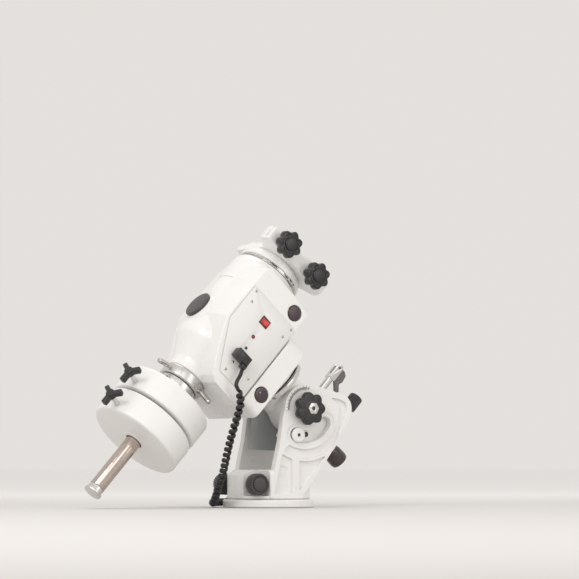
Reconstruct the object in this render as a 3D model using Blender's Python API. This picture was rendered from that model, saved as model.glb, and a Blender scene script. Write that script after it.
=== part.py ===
"""Equatorial mount head: azimuth base and fork, tilting polar housing, head casing with its
declination axis, dovetail saddle, counterweight shaft with two weights and a curly lead.

World frame: origin at the centre of the base's lower face, +Z up, +X towards the equator,
-X towards the pole. The head frame has its origin where the two axes cross: local x runs
down the polar axis, local y is world y and local z runs up the declination axis.
"""

import math

import bpy
from mathutils import Matrix, Vector

MM = 0.001
HEX = 6
SMALL = 12
ROUND = 20
LARGE = 28
GAP = 0.3
LATITUDE = 42.6
CROSSING = (-85.5, 0.0, 276.0)
TILT_AXIS = (31.6, 0.0, 154.8)

BASE_RADIUS = 72.0
BASE_HEIGHT = 12.6
HUB_RADIUS = 30.0
FORK_RADIUS = 66.0
FORK_TOP = 59.0
PEG_X = -51.0
PEG_HALF = 4.0
KNOB_Z = 36.0
ARM_OUTER = 60.0
ARM_INNER = 48.0
ARM_RIM = 3.0
SLOT_RADIUS = 44.0
SLOT_HALF = 10.2
SLOT_ENDS = (-112.5, -30.0)
SLOT_BOLT_ANGLE = -109.5
STAR_KNOB_RADIUS = 26.5

HOUSING_LOW = 69.0
HOUSING_HIGH = 105.0
HOUSING_HALF = 75.0
TUBE_RADIUS = 40.0
TUBE_END = 225.0
NECK_RADIUS = 16.0
NECK_END = 273.0
REAR_KNOB_X = 255.0
ALTITUDE_BOLT_X = 197.0
RA_SHAFT_RADIUS = 27.5
RA_WORM = (86.0, -61.0)
RA_PLUG = (87.5, -56.7)
CLUTCH_EDGE = ((130, 57), (137, 60), (150, 65), (166, 69), (178, 71), (190, 71), (202, 68), (212, 64),
               (217, 58))
DEC_WORM = (45.5, 79.6)

HEAD_RADIUS = 58.0
HEAD_TOP = 118.0
HEAD_NECK = 34.5
HEAD_BOTTOM = -100.0
PANEL_Y = -75.0
PANEL = ((-36.0, 60.5), (65.0, 60.5), (65.0, -81.0), (6.5, -81.5), (-36.0, -8.0))
FLANKS = ((-100, 14, 12, 30), (-94, 3, 2, 32), (-77, -9, -11, 36), (-53, -22, -24, 46),
          (-9, -42, -55.7, 12.1), (96, -39, -55.1, 14.7), (104, -30, -52.4, 22.4))
LOCK_PINS = (("north", -163.0), ("south", -54.0))
SWITCH = (15.2, 30.2)
PLUG_SEAT = (17.5, -43.0)

FLANGE_RADIUS = 54.6
SADDLE_LENGTH = 130.0
SADDLE_KNOBS = (-37.0, 33.0)
SADDLE_KNOB_Z = 146.0

SHAFT_RADIUS = 12.5
SHAFT_END = -331.0
WEIGHT_RADIUS = 75.5
WEIGHT_HEIGHT = 46.0
WEIGHT_KNOB_TURN = 21.0
WEIGHT_KNOB_DROP = 11.0
WEIGHTS = (("upper", -166.0), ("lower", -213.0))
CORD_RADIUS = 3.0
COIL_RADIUS = 6.6


def clear_scene():
    for item in list(bpy.data.objects):
        bpy.data.objects.remove(item)


def material(name, colour, roughness, metallic):
    """A plain surface with its colour, roughness and metallic values."""
    made = bpy.data.materials.get(name)
    if made is None:
        made = bpy.data.materials.new(name)
        made.use_nodes = True
        shader = made.node_tree.nodes["Principled BSDF"]
        shader.inputs["Base Color"].default_value = (*colour, 1.0)
        shader.inputs["Roughness"].default_value = roughness
        shader.inputs["Metallic"].default_value = metallic
    return made


def white_paint(name):
    return material(name + "_paint", (0.86, 0.84, 0.80), 0.35, 0.0)


def black_plastic(name):
    return material(name + "_plastic", (0.045, 0.042, 0.045), 0.45, 0.0)


def bright_metal(name):
    return material(name + "_metal", (0.72, 0.71, 0.70), 0.28, 1.0)


def brass(name):
    return material(name + "_brass", (0.72, 0.55, 0.28), 0.35, 1.0)


def grey_part(name):
    return material(name + "_grey", (0.16, 0.16, 0.15), 0.6, 0.0)


# --- shapes: each is a pair of point and face lists, in millimetres ---------------------


def revolve(profile, segments=ROUND):
    """A closed outline of (radius, height) points turned about z."""
    points, rings = [], []
    for radius, height in profile:
        if radius < 1e-6:
            rings.append([len(points)] * segments)
            points.append((0.0, 0.0, height))
            continue
        rings.append(list(range(len(points), len(points) + segments)))
        for i in range(segments):
            turn = 2 * math.pi * i / segments
            points.append((radius * math.cos(turn), radius * math.sin(turn), height))
    faces = []
    for lower, upper in zip(rings, rings[1:] + rings[:1]):
        for i in range(segments):
            j = (i + 1) % segments
            face = []
            for index in (lower[i], lower[j], upper[j], upper[i]):
                if index not in face:
                    face.append(index)
            if len(face) > 2:
                faces.append(face)
    return points, faces


def disc(radius, low, high, edge=0.0, bore=0.0, segments=ROUND):
    """A cylinder or ring about z with chamfered outer edges."""
    outer = [(radius, low), (radius, high)]
    if edge > 0:
        outer = [(radius - edge, low), (radius, low + edge), (radius, high - edge), (radius - edge, high)]
    return revolve([(bore, low), *outer, (bore, high)], segments)


def prism(outline, low, high):
    """An outline of (x, y) points raised along z."""
    count = len(outline)
    area = sum(a[0] * b[1] - b[0] * a[1] for a, b in zip(outline, outline[1:] + outline[:1]))
    if area < 0:
        outline = outline[::-1]
    points = [(x, y, low) for x, y in outline] + [(x, y, high) for x, y in outline]
    faces = [list(range(count))[::-1], list(range(count, 2 * count))]
    for i in range(count):
        j = (i + 1) % count
        faces.append([i, j, count + j, count + i])
    return points, faces


def loft(sections):
    """Rings of equal length joined one to the next, closed at both ends."""
    count = len(sections[0])
    points = [point for ring in sections for point in ring]
    last = len(points) - count
    faces = [list(range(count))[::-1], list(range(last, last + count))]
    for level in range(len(sections) - 1):
        start = level * count
        for i in range(count):
            j = (i + 1) % count
            faces.append([start + i, start + j, start + count + j, start + count + i])
    return points, faces


def block(x, y, z):
    return prism([(x[0], y[0]), (x[1], y[0]), (x[1], y[1]), (x[0], y[1])], z[0], z[1])


def placed(shape, matrix):
    points, faces = shape
    return [tuple(matrix @ Vector(point)) for point in points], faces


def facing(direction, at=(0, 0, 0)):
    """A frame at a point whose local z runs along a direction."""
    turn = Vector(direction).to_track_quat("Z", "Y").to_matrix().to_4x4()
    return Matrix.Translation(Vector(at)) @ turn


def along_y(shape, at=(0, 0, 0)):
    """A shape made in x and z' and raised along y: (x, y, z) becomes (x, -z, y)."""
    turn = Matrix(((1, 0, 0, 0), (0, 0, -1, 0), (0, 1, 0, 0), (0, 0, 0, 1)))
    return placed(shape, Matrix.Translation(Vector(at)) @ turn)


def side_plate(outline, low, high):
    """An outline of (x, z) points between two y values."""
    return along_y(prism(list(outline), -high, -low))


def along_x(shape, at=(0, 0, 0)):
    """A shape turned about z laid so that z runs along x."""
    return placed(shape, facing((1, 0, 0), at))


def bar(section, low, high):
    """A (y, z) section pulled along x."""
    return placed(prism(section, low, high), Matrix(((0, 0, 1, 0), (1, 0, 0, 0), (0, 1, 0, 0), (0, 0, 0, 1))))


def on_circle(centre, radius, degrees):
    angle = math.radians(degrees)
    return centre[0] + radius * math.cos(angle), centre[1] + radius * math.sin(angle)


def arc(centre, radius, start, end, steps):
    """Points on a circle between two angles in degrees."""
    return [on_circle(centre, radius, start + (end - start) * i / steps) for i in range(steps + 1)]


def rounded_rectangle(x, y, radius, steps=6):
    corners = (((x[1] - radius, y[1] - radius), 0), ((x[0] + radius, y[1] - radius), 90),
               ((x[0] + radius, y[0] + radius), 180), ((x[1] - radius, y[0] + radius), 270))
    return [point for centre, start in corners for point in arc(centre, radius, start, start + 90, steps)]


def curved_slot(centre, radius, half, start, end):
    """A slot along an arc, with round ends."""
    first = on_circle(centre, radius, start)
    last = on_circle(centre, radius, end)
    outline = arc(centre, radius + half, start, end, 12)
    outline += arc(last, half, end, end + 180, 8)[1:]
    outline += arc(centre, radius - half, end, start, 10)[1:]
    outline += arc(first, half, start + 180, start + 360, 8)[1:-1]
    return outline


def lobed_knob(radius, depth, lobes, steps=5, dish=0.16):
    """A star knob about z from its back at 0 to its face at depth."""
    sections = []
    count = lobes * steps
    for height, scale in ((0, 0.86), (depth * 0.2, 0.97), (depth * 0.75, 1.0), (depth, 0.93)):
        ring = []
        for i in range(count):
            angle = 2 * math.pi * i / count
            reach = radius * scale * (1 - dish * 0.5 * (1 - math.cos(lobes * angle)))
            ring.append((reach * math.cos(angle), reach * math.sin(angle), height))
        sections.append(ring)
    return loft(sections)


# --- objects ---------------------------------------------------------------------------


def mesh_object(name, shape, matrix):
    mesh = bpy.data.meshes.new(name)
    points, faces = shape
    mesh.from_pydata([tuple(v * MM for v in point) for point in points], [], faces)
    mesh.update()
    mesh.polygons.foreach_set("use_smooth", [True] * len(mesh.polygons))
    mesh.set_sharp_from_angle(angle=math.radians(35))
    made = bpy.data.objects.new(name, mesh)
    bpy.context.scene.collection.objects.link(made)
    made.matrix_world = matrix
    return made


def ride(item, axis):
    """Parents an object to the empty on its joint's axis without moving it."""
    place = item.matrix_world.copy()
    item.parent = axis
    item.matrix_parent_inverse = axis.matrix_world.inverted()
    item.matrix_basis = place


def piece(name, surface, axis, frame, adds, cuts=(), solver="EXACT"):
    """One closed solid: the first shape, with the others joined on and the cutters taken away."""
    made = mesh_object(name, adds[0], frame)
    made.data.materials.append(surface)
    for operation, shapes in (("UNION", adds[1:]), ("DIFFERENCE", cuts)):
        for number, shape in enumerate(shapes):
            tool = mesh_object(f"{name}_{operation.lower()}_{number}", shape, frame)
            tool.hide_render = True
            tool.display_type = "WIRE"
            change = made.modifiers.new(f"{operation}_{number}", "BOOLEAN")
            change.operation = operation
            change.solver = solver
            change.object = tool
            ride(tool, axis)
    ride(made, axis)
    return made


def empty(name, matrix):
    made = bpy.data.objects.new(name, None)
    bpy.context.scene.collection.objects.link(made)
    made.matrix_world = matrix
    return made


def head_frame():
    turn = Matrix.Rotation(math.radians(LATITUDE), 4, "Y")
    return Matrix.Translation(Vector(CROSSING) * MM) @ turn


def at(frame, point):
    """A frame moved to a point given in millimetres."""
    return frame @ Matrix.Translation(Vector(point) * MM)


def tilt_point(radius, angle):
    """A point beside the tilt axis in world x and z."""
    return on_circle((TILT_AXIS[0], TILT_AXIS[2]), radius, angle)


WORLD = Matrix.Identity(4)
HEAD = head_frame()


# --- base and fork ---------------------------------------------------------------------


def base_plate(axis):
    outline = [(0, 0), (BASE_RADIUS - 1, 0), (BASE_RADIUS, 1), (BASE_RADIUS, 7.4), (BASE_RADIUS - 1.2, 7.8),
               (BASE_RADIUS - 1.2, 8.4), (BASE_RADIUS, 8.8), (BASE_RADIUS, BASE_HEIGHT - 0.8),
               (BASE_RADIUS - 0.8, BASE_HEIGHT), (HUB_RADIUS, BASE_HEIGHT), (HUB_RADIUS, 24), (0, 24)]
    peg = block((PEG_X - 6, PEG_X + 6), (-PEG_HALF, PEG_HALF), (BASE_HEIGHT - 4, 46))
    piece("base_plate", white_paint("base_plate"), axis, WORLD, [revolve(outline, LARGE), peg])


def arm_outline():
    """The side view of a fork arm in x and z."""
    outline = [(25, 15), (48, 42.5), (78, 82), (107, 121), (114, 135.5), (119, 147), (120, 157), (118, 166),
               (112, 174), (104, 178), (90, 181.5), (68, 187), (51, 191)]
    outline += arc((TILT_AXIS[0], TILT_AXIS[2]), 38, 80, 180, 10)
    outline += [(-9, 146), (-14.7, 105), (-24.7, 63), (-34.8, 15)]
    return outline


def arm_recesses():
    """The sunk fields on an arm's outer face, with ribs left between them."""
    centre = (TILT_AXIS[0], TILT_AXIS[2])
    lower = [*arc(centre, 83, -121, -107, 3), (8.5, 20), (-25.5, 20)]
    slant = [*arc(centre, 83, -98, -61, 6), (20.5, 25)]
    upper = [(80, 173), (97, 170), (107, 166), (111, 159), (109, 148), (97, 123), (84, 107)]
    upper += arc(centre, 63, -48, 5, 6)
    return [lower, slant, upper]


def fork(axis):
    outline = [(0, BASE_HEIGHT + 0.5), (FORK_RADIUS, BASE_HEIGHT + 0.5), (FORK_RADIUS, FORK_TOP - 6),
               (FORK_RADIUS - 4, FORK_TOP), (0, FORK_TOP)]
    adds = [revolve(outline, LARGE)]
    cuts = [disc(HUB_RADIUS + 0.5, 0, 26, segments=ROUND), disc(8, 20, 60, segments=ROUND)]
    for low, high, out in ((-ARM_OUTER, -ARM_INNER, -1), (ARM_INNER, ARM_OUTER, 1)):
        adds.append(side_plate(arm_outline(), low, high))
        face = out * ARM_OUTER
        for field in arm_recesses():
            cuts.append(side_plate(field, *sorted((face - out * ARM_RIM, face + out))))
        cuts.append(block((-33, 80), sorted((face, face + out * 20)), (BASE_HEIGHT, FORK_TOP + 5)))
        pocket = (-70, -24) if out < 0 else (24, 70)
        cuts.append(block((PEG_X - 21, PEG_X + 18.5), pocket, (18, FORK_TOP + 4)))
    cuts.append(block((PEG_X - 9, PEG_X + 9), (-13, 13), (0, 48)))
    cuts.append(along_y(disc(4.5, -40, 40, segments=SMALL), (PEG_X, 0, KNOB_Z)))
    cuts.append(along_y(disc(8.5, -70, 70, segments=ROUND), TILT_AXIS))
    slot = curved_slot((TILT_AXIS[0], TILT_AXIS[2]), SLOT_RADIUS, SLOT_HALF, *SLOT_ENDS)
    cuts.append(side_plate(slot, -ARM_OUTER - 2, -ARM_INNER + 2))
    slope = [(-72, 48), (-72, 70), (-40, 70), (-44, FORK_TOP + 0.2)]
    cuts.append(side_plate(slope, -80, 80))
    piece("fork", white_paint("fork"), axis, WORLD, adds, cuts, "MANIFOLD")


def azimuth_knobs(axis):
    for name, side in (("west", -1), ("east", 1)):
        frame = Matrix.Translation(Vector((PEG_X, 0, KNOB_Z)) * MM) @ facing((0, side, 0))
        knob = lobed_knob(17, 11.5, 10, 4, 0.06)
        adds = [placed(knob, Matrix.Translation((0, 0, 46))), disc(4.0, PEG_HALF + 1.4, 50, segments=SMALL)]
        piece(f"azimuth_knob_{name}", black_plastic(f"azimuth_knob_{name}"), axis, frame, adds)


def latitude_scale(axis):
    centre = (TILT_AXIS[0], TILT_AXIS[2])
    outline = arc(centre, 38.5, 80, 186, 18) + arc(centre, 29.5, 186, 80, 16)
    piece("latitude_scale", bright_metal("latitude_scale"), axis, WORLD,
          [side_plate(outline, -ARM_OUTER - 1.2, -ARM_OUTER - GAP)])


def rear_knob(axis):
    frame = at(HEAD, (REAR_KNOB_X, 0, 0))
    outline = [(0, 74), (10.5, 74), (12, 76), (12, 95), (9.5, 100), (0, 100.5)]
    adds = [revolve(outline, ROUND), disc(4.0, 50, 80, segments=SMALL)]
    piece("rear_knob", black_plastic("rear_knob"), axis, frame, adds)


# --- polar housing ---------------------------------------------------------------------


def tilt_side():
    """The cheek beside an arm: a boss about the tilt axis and a sector behind the slot."""
    centre = (TILT_AXIS[0], TILT_AXIS[2])
    sector = [centre, *arc(centre, 57, -132, -12, 16)]
    return disc(36, -47.5, 47.5, segments=ROUND), sector


def ra_housing(axis):
    front = rounded_rectangle((-HOUSING_HALF, HOUSING_HALF), (-90, 60), 34)
    front_block = bar(front, HOUSING_LOW, HOUSING_HIGH)
    tube = along_x(disc(TUBE_RADIUS, HOUSING_HIGH - 6, TUBE_END, 3.0, segments=LARGE))
    neck = along_x(disc(NECK_RADIUS, TUBE_END - 5, NECK_END, 1.0, segments=ROUND))
    collar = along_x(disc(52, HOUSING_HIGH - 4, HOUSING_HIGH + 22, 6.0, segments=LARGE))
    back = HEAD.inverted()
    back.translation = back.translation / MM
    boss, sector = tilt_side()
    trunnion = placed(along_y(boss, TILT_AXIS), back)
    cheeks = [placed(side_plate(sector, low, high), back) for low, high in ((-47.2, -30), (30, 47.2))]
    journal = placed(along_y(disc(8.2, -59, -40, segments=ROUND), TILT_AXIS), back)
    shelf = block((182, 212), (-13, 13), (34, 52))
    stand = placed(disc(8.5, 8, 68, segments=ROUND), Matrix.Translation((REAR_KNOB_X, 0, 0)))
    cuts = [
        along_x(disc(54.5, HOUSING_LOW - 2, 94, segments=LARGE)),
        along_x(disc(40.3, 93, 106, segments=ROUND)),
        along_x(disc(30, 100, 196, segments=ROUND)),
        along_x(disc(34.3, 195, TUBE_END - 7, segments=ROUND)),
        along_x(disc(13.3, 190, NECK_END + 2, segments=ROUND)),
        along_y(disc(14.6, -71, 65, segments=ROUND), (RA_WORM[0], 0, RA_WORM[1])),
        along_y(disc(12.6, 64, 80, segments=ROUND), (RA_PLUG[0], 0, RA_PLUG[1])),
        placed(along_y(disc(8.3, 31, 60, segments=ROUND), TILT_AXIS), back),
        placed(disc(6.4, 38, 56, segments=SMALL), Matrix.Translation((ALTITUDE_BOLT_X, 0, 0))),
        placed(disc(4.4, 46, 70, segments=SMALL), Matrix.Translation((REAR_KNOB_X, 0, 0))),
    ]
    bolt = tilt_point(SLOT_RADIUS, SLOT_BOLT_ANGLE)
    spare = tilt_point(40, -77)
    cuts.append(placed(along_y(disc(4.4, 36, 50, segments=SMALL), (bolt[0], 0, bolt[1])), back))
    cuts.append(placed(along_y(disc(3.2, 40, 50, segments=SMALL), (spare[0], 0, spare[1])), back))
    adds = [front_block, tube, neck, collar, trunnion, *cheeks, journal, shelf, stand]
    piece("ra_housing", white_paint("ra_housing"), axis, HEAD, adds, cuts, "MANIFOLD")


def altitude_pivot(axis):
    frame = Matrix.Translation(Vector(TILT_AXIS) * MM) @ facing((0, -1, 0))
    adds = [disc(8.0, 32, 61, segments=ROUND), disc(6.0, 55, 79, segments=ROUND)]
    piece("altitude_axle", bright_metal("altitude_axle"), axis, frame, adds)
    knob = lobed_knob(STAR_KNOB_RADIUS, 13, 7)
    adds = [placed(knob, Matrix.Translation((0, 0, 66))), disc(13, 61.8, 68, segments=ROUND)]
    bore = disc(6.3, 50, 90, segments=ROUND)
    piece("altitude_star_knob", black_plastic("altitude_star_knob"), axis, frame, adds, [bore])
    nut = disc(9.8, 79.3, 84.5, 0.8, segments=HEX)
    piece("altitude_nut", bright_metal("altitude_nut"), axis, frame, [nut])


def slot_bolt(axis):
    point = tilt_point(SLOT_RADIUS, SLOT_BOLT_ANGLE)
    frame = Matrix.Translation(Vector((point[0], 0, point[1])) * MM) @ facing((0, -1, 0))
    adds = [disc(9.8, 47.8, 62.5, 1.0, segments=ROUND), disc(4.1, 38, 50, segments=SMALL)]
    piece("slot_bolt", bright_metal("slot_bolt"), axis, frame, adds)


def altitude_quadrant(axis):
    centre = (TILT_AXIS[0], TILT_AXIS[2])
    outline = [(-35, 91), (-35, 140), (-20.4, 156.6), *arc(centre, 37.6, 198, 249, 6), (12, 89)]
    piece("altitude_quadrant", grey_part("altitude_quadrant"), axis, WORLD, [side_plate(outline, -6, 6)])


def altitude_bolt(axis):
    frame = at(HEAD, (ALTITUDE_BOLT_X, 0, 0))
    fork_end = [(-6, 84), (-6, 110), (-3, 114), (3, 114), (6, 110), (6, 84)]
    adds = [disc(6.0, 40.5, 88, segments=ROUND), side_plate(fork_end, -7, 7)]
    pin_hole = along_y(disc(2.2, -10, 10, segments=SMALL), (0, 0, 108))
    cuts = [block((-12, 12), (-3.4, 3.4), (92, 125)), pin_hole]
    piece("altitude_bolt", bright_metal("altitude_bolt"), axis, frame, adds, cuts)
    frame = at(HEAD, (ALTITUDE_BOLT_X, 0, 108))
    handle = [(-4, -4), (6.4, -5), (6.4, -19), (11, -23), (20, -32), (27, -29), (18, -19), (21, -12), (19, 0),
              (13, 4), (-3, 4)]
    adds = [side_plate(handle, -3.0, 3.0), along_y(disc(2.0, -8, 8, segments=SMALL))]
    piece("folding_handle", black_plastic("folding_handle"), axis, frame, adds)


def polar_scope(axis):
    body = revolve([(11, 66), (12.9, 66), (12.9, NECK_END), (11, NECK_END)], ROUND)
    piece("polar_scope_tube", grey_part("polar_scope_tube"), axis, HEAD, [along_x(body)])
    cup = revolve([(5, 274), (13.5, 274), (16, 300), (15, 305), (12, 307), (5, 307)], ROUND)
    piece("polar_scope_eyepiece", black_plastic("polar_scope_eyepiece"), axis, HEAD, [along_x(cup)])


def housing_small_parts(axis):
    circle = revolve([(52.3, 106), (63, 106), (63, 112), (52.3, 112)], LARGE)
    piece("ra_setting_circle", bright_metal("ra_setting_circle"), axis, HEAD, [along_x(circle)])
    crescent = []
    for angle, radius in CLUTCH_EDGE:
        crescent.append((radius * math.cos(math.radians(angle)), radius * math.sin(math.radians(angle))))
    ring = along_x(revolve([(52.4, -2.5), (57.5, -2.5), (57.5, 5), (52.4, 5)], LARGE))
    outline = arc((0, 0), 54.5, 220, 126, 8) + crescent
    lever = bar(outline, -2.5, 5)
    piece("ra_clutch_lever", bright_metal("ra_clutch_lever"), axis, at(HEAD, (116, 0, 0)), [ring, lever])
    frame = at(HEAD, (RA_PLUG[0], 0, RA_PLUG[1])) @ facing((0, -1, 0))
    plug = disc(12.3, 66.5, 75.2, 0.8, segments=ROUND)
    piece("ra_housing_plug", black_plastic("ra_housing_plug"), axis, frame, [plug])


def ra_drive(axis, head):
    for name, low, high, outer in (("front", 94, 105, 39.9), ("rear", 204, 216, 33.9)):
        ring = revolve([(28.0, low), (outer, low), (outer, high), (28.0, high)], ROUND)
        piece(f"ra_bearing_{name}", bright_metal(f"ra_bearing_{name}"), axis, HEAD, [along_x(ring)])
    outline = [(20, 54), (42, 54), (42, 59.5), (RA_SHAFT_RADIUS, 60), (RA_SHAFT_RADIUS, 217), (20, 217)]
    shaft = revolve(outline, ROUND)
    piece("ra_shaft", bright_metal("ra_shaft"), head, HEAD, [along_x(shaft)])
    wheel = revolve([(28.0, 80), (49, 80), (50.5, 82), (50.5, 90), (49, 92), (28.0, 92)], LARGE)
    piece("ra_worm_wheel", brass("ra_worm_wheel"), head, HEAD, [along_x(wheel)])
    frame = at(HEAD, (RA_WORM[0], 0, RA_WORM[1]))
    worm_and_motor("ra", frame, axis)


def worm_and_motor(name, frame, axis):
    """A worm along y with its motor in line on the far side."""
    worm = revolve([(0, -30), (5, -30), (5, -16), (9.6, -14), (9.6, 14), (5, 16), (5, 58), (0, 58)], ROUND)
    turned = frame @ facing((0, -1, 0))
    piece(f"{name}_worm", bright_metal(f"{name}_worm"), axis, turned, [worm])
    motor = disc(14.0, -66, -31, 1.5, segments=ROUND)
    piece(f"{name}_motor", grey_part(f"{name}_motor"), axis, turned, [motor])


# --- head --------------------------------------------------------------------------------


def flank(height, left, x, y):
    """One ring of the casing's box: flat faces in y, and a flank on the left running in to the round body."""
    near, far, right = PANEL_Y, -PANEL_Y - 3, 66
    outline = [(left, near), (right, near), (right, far), (left, far), (x, y), (x, -y)]
    return [(a, b, height) for a, b in outline]


def head_casing(axis):
    outline = [(0, HEAD_BOTTOM), (HEAD_NECK, HEAD_BOTTOM), (HEAD_NECK, -91), (36, -83), (41, -73), (49, -59),
               (56, -47), (HEAD_RADIUS, -38), (HEAD_RADIUS, 108), (55, HEAD_TOP), (0, HEAD_TOP)]
    land = along_x(disc(25, -HEAD_RADIUS - 0.5, -40, 1.0, segments=ROUND))
    rings = [flank(*ring) for ring in FLANKS]
    adds = [revolve(outline, LARGE), loft(rings), land]
    room = [(-30, 52), (60, 52), (60, -74), (10, -74), (-30, -6)]
    inset = [(-30, 54), (59, 54), (59, -74), (10, -74), (-30, -10)]
    cuts = [
        revolve([(0, -72), (33, -72), (42, -57), (50, -42), (50, 96), (0, 100)], LARGE),
        side_plate(room, -66, 64),
        side_plate(PANEL, PANEL_Y - 2, PANEL_Y + 2.6),
        side_plate(inset, PANEL_Y - 1, -60),
        disc(32.2, 90, HEAD_TOP + 2, segments=ROUND),
        disc(26.9, HEAD_BOTTOM - 2, -60, segments=ROUND),
        along_x(disc(30, 50, 70, segments=ROUND)),
        along_x(disc(19, -62, -40, segments=ROUND)),
        along_y(disc(14.6, -66, 80, segments=ROUND), (DEC_WORM[0], 0, DEC_WORM[1])),
        block((8, 59), (-30, 30), (70, 90)),
    ]
    piece("head_casing", white_paint("head_casing"), axis, HEAD, adds, cuts)


def control_panel(axis):
    inner = [(-35.6, 60.1), (64.6, 60.1), (64.6, -80.6), (6.7, -81.1), (-35.6, -8.1)]
    x, z = SWITCH
    cuts = [block((x - 7.2, x + 7.2), (PANEL_Y - 5, PANEL_Y + 5), (z - 5.7, z + 5.7))]
    x, z = PLUG_SEAT
    cuts.append(block((x - 7, x + 7), (PANEL_Y - 5, PANEL_Y + 5), (z - 6, z + 6)))
    cuts.append(along_y(disc(2.0, 70, 80, segments=SMALL), (15, 0, -1)))
    piece("control_panel", white_paint("control_panel"), axis, HEAD,
          [side_plate(inner, PANEL_Y - 0.2, PANEL_Y + 2.3)], cuts)
    lamp = along_y(disc(1.7, 71, 76.2, 0.5, segments=SMALL), (15, 0, -1))
    piece("power_lamp", material("power_lamp_lens", (0.75, 0.1, 0.08), 0.2, 0.0), axis, HEAD, [lamp])
    board = block((-8, 54), (-64, -62.4), (-36, 44))
    piece("main_board", material("main_board_resin", (0.05, 0.22, 0.09), 0.5, 0.0), axis, HEAD, [board])


def power_switch(axis):
    frame = at(HEAD, (SWITCH[0], PANEL_Y + 2, SWITCH[1])) @ Matrix.Rotation(math.radians(-6), 4, "Z")
    rocker = [(-6.4, -4.8), (-6.4, 3), (6.4, 3), (6.4, -4.8), (0, -3.4)]
    shape = prism(rocker, -4.8, 4.8)
    piece("power_switch", material("power_switch_red", (0.75, 0.05, 0.05), 0.3, 0.0), axis, frame, [shape])


def handset_socket(axis):
    x, z = PLUG_SEAT
    outer = block((x - 6.7, x + 6.7), (PANEL_Y - 0.6, PANEL_Y + 9), (z - 5.7, z + 5.7))
    hole = block((x - 4.8, x + 4.8), (PANEL_Y - 2, PANEL_Y + 6), (z - 3.8, z + 3.8))
    piece("handset_socket", black_plastic("handset_socket"), axis, HEAD, [outer], [hole])


def head_small_parts(axis):
    frame = at(HEAD, (DEC_WORM[0], 0, DEC_WORM[1])) @ facing((0, -1, 0))
    piece("head_plug", black_plastic("head_plug"), axis, frame, [disc(13.0, 66.3, 75.8, 0.8, segments=ROUND)],
          [disc(12, 60, 66.4, segments=ROUND)])


def polar_cap(axis):
    shape = [disc(23.3, 58.9, 63.5, 1.2, segments=ROUND), disc(18.6, 46, 60, segments=ROUND)]
    frame = at(HEAD, (0, 0, 0)) @ facing((-1, 0, 0))
    piece("polar_cap", grey_part("polar_cap"), axis, frame, shape)


def dec_drive(axis, turning):
    for name, low, high, inner, outer in (("upper", 104, 116, 22.3, 31.9), ("lower", -97, -84, 20.3, 26.6)):
        ring = revolve([(inner, low), (outer, low), (outer, high), (inner, high)], ROUND)
        piece(f"dec_bearing_{name}", bright_metal(f"dec_bearing_{name}"), axis, HEAD, [ring])
    outline = [(13.2, -99), (20, -99), (20, 60), (22, 62), (22, 123.4), (13.2, 123.4)]
    port = along_x(disc(17, -30, 30, segments=ROUND))
    piece("dec_shaft", bright_metal("dec_shaft"), turning, HEAD, [revolve(outline, ROUND)], [port])
    wheel = revolve([(22.3, 74), (34.5, 74), (35.6, 76), (35.6, 83), (34.5, 85), (22.3, 85)], LARGE)
    piece("dec_worm_wheel", brass("dec_worm_wheel"), turning, HEAD, [wheel])
    worm_and_motor("dec", at(HEAD, (DEC_WORM[0], 0, DEC_WORM[1])), axis)


# --- declination side --------------------------------------------------------------------


def dec_flange(axis):
    circle = revolve([(33, 118.6), (53, 118.6), (53, 123.4), (33, 123.4)], LARGE)
    piece("dec_setting_circle", bright_metal("dec_setting_circle"), axis, HEAD, [circle])
    outline = [(15, 124), (53, 124), (FLANGE_RADIUS, 125.5), (FLANGE_RADIUS, 131), (52, 135.5), (49, 137.5),
               (48, 140), (15, 140)]
    piece("dec_flange", white_paint("dec_flange"), axis, HEAD, [revolve(outline, LARGE)])


def saddle(axis):
    half = SADDLE_LENGTH / 2
    short = half - 19
    outline = [(-half, -62), (half, -62), (half, -42), (short, -22), (short, 58), (-short, 58), (-short, -22),
               (-half, -42)]
    far = bar([(38, 151), (34, 168), (58, 168), (58, 151)], -short, short)
    near = block((-half, half), (-62, -53), (143, 168))
    adds = [prism(outline, 140.3, 144), block((-short, short), (-28, 58), (143, 152)), far, near,
            block((-short + 2, short - 2), (-20, 28), (151, 153))]
    cuts = [along_y(disc(4.4, 40, 80, segments=SMALL), (x, 0, SADDLE_KNOB_Z + 4)) for x in SADDLE_KNOBS]
    for x in (-half, -2, half):
        cuts.append(along_y(disc(13, -75, -30, segments=ROUND), (x, 0, 176)))
    piece("saddle", white_paint("saddle"), axis, HEAD, adds, cuts)


def saddle_jaw(axis):
    half = SADDLE_LENGTH / 2 - 1
    section = [(-44, 144.4), (-31, 144.4), (-31, 152), (-27.5, 168), (-44, 168)]
    body = bar(section, -half, half)
    cuts = [along_y(disc(4.4, 36, 60, segments=SMALL), (x, 0, SADDLE_KNOB_Z + 4)) for x in SADDLE_KNOBS]
    piece("saddle_jaw", white_paint("saddle_jaw"), axis, HEAD, [body], cuts)
    for name, x in zip(("lower", "upper"), reversed(SADDLE_KNOBS)):
        frame = at(HEAD, (x, 0, SADDLE_KNOB_Z + 4)) @ facing((0, -1, 0))
        knob = lobed_knob(22, 15, 7)
        adds = [placed(knob, Matrix.Translation((0, 0, 71))), disc(4.0, 38, 75, segments=SMALL),
                revolve([(0, 84), (11.5, 84), (11, 87), (9, 88.4), (0, 89)], ROUND), disc(11, 68, 72, segments=ROUND)]
        piece(f"saddle_knob_{name}", black_plastic(f"saddle_knob_{name}"), axis, frame, adds)


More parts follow.
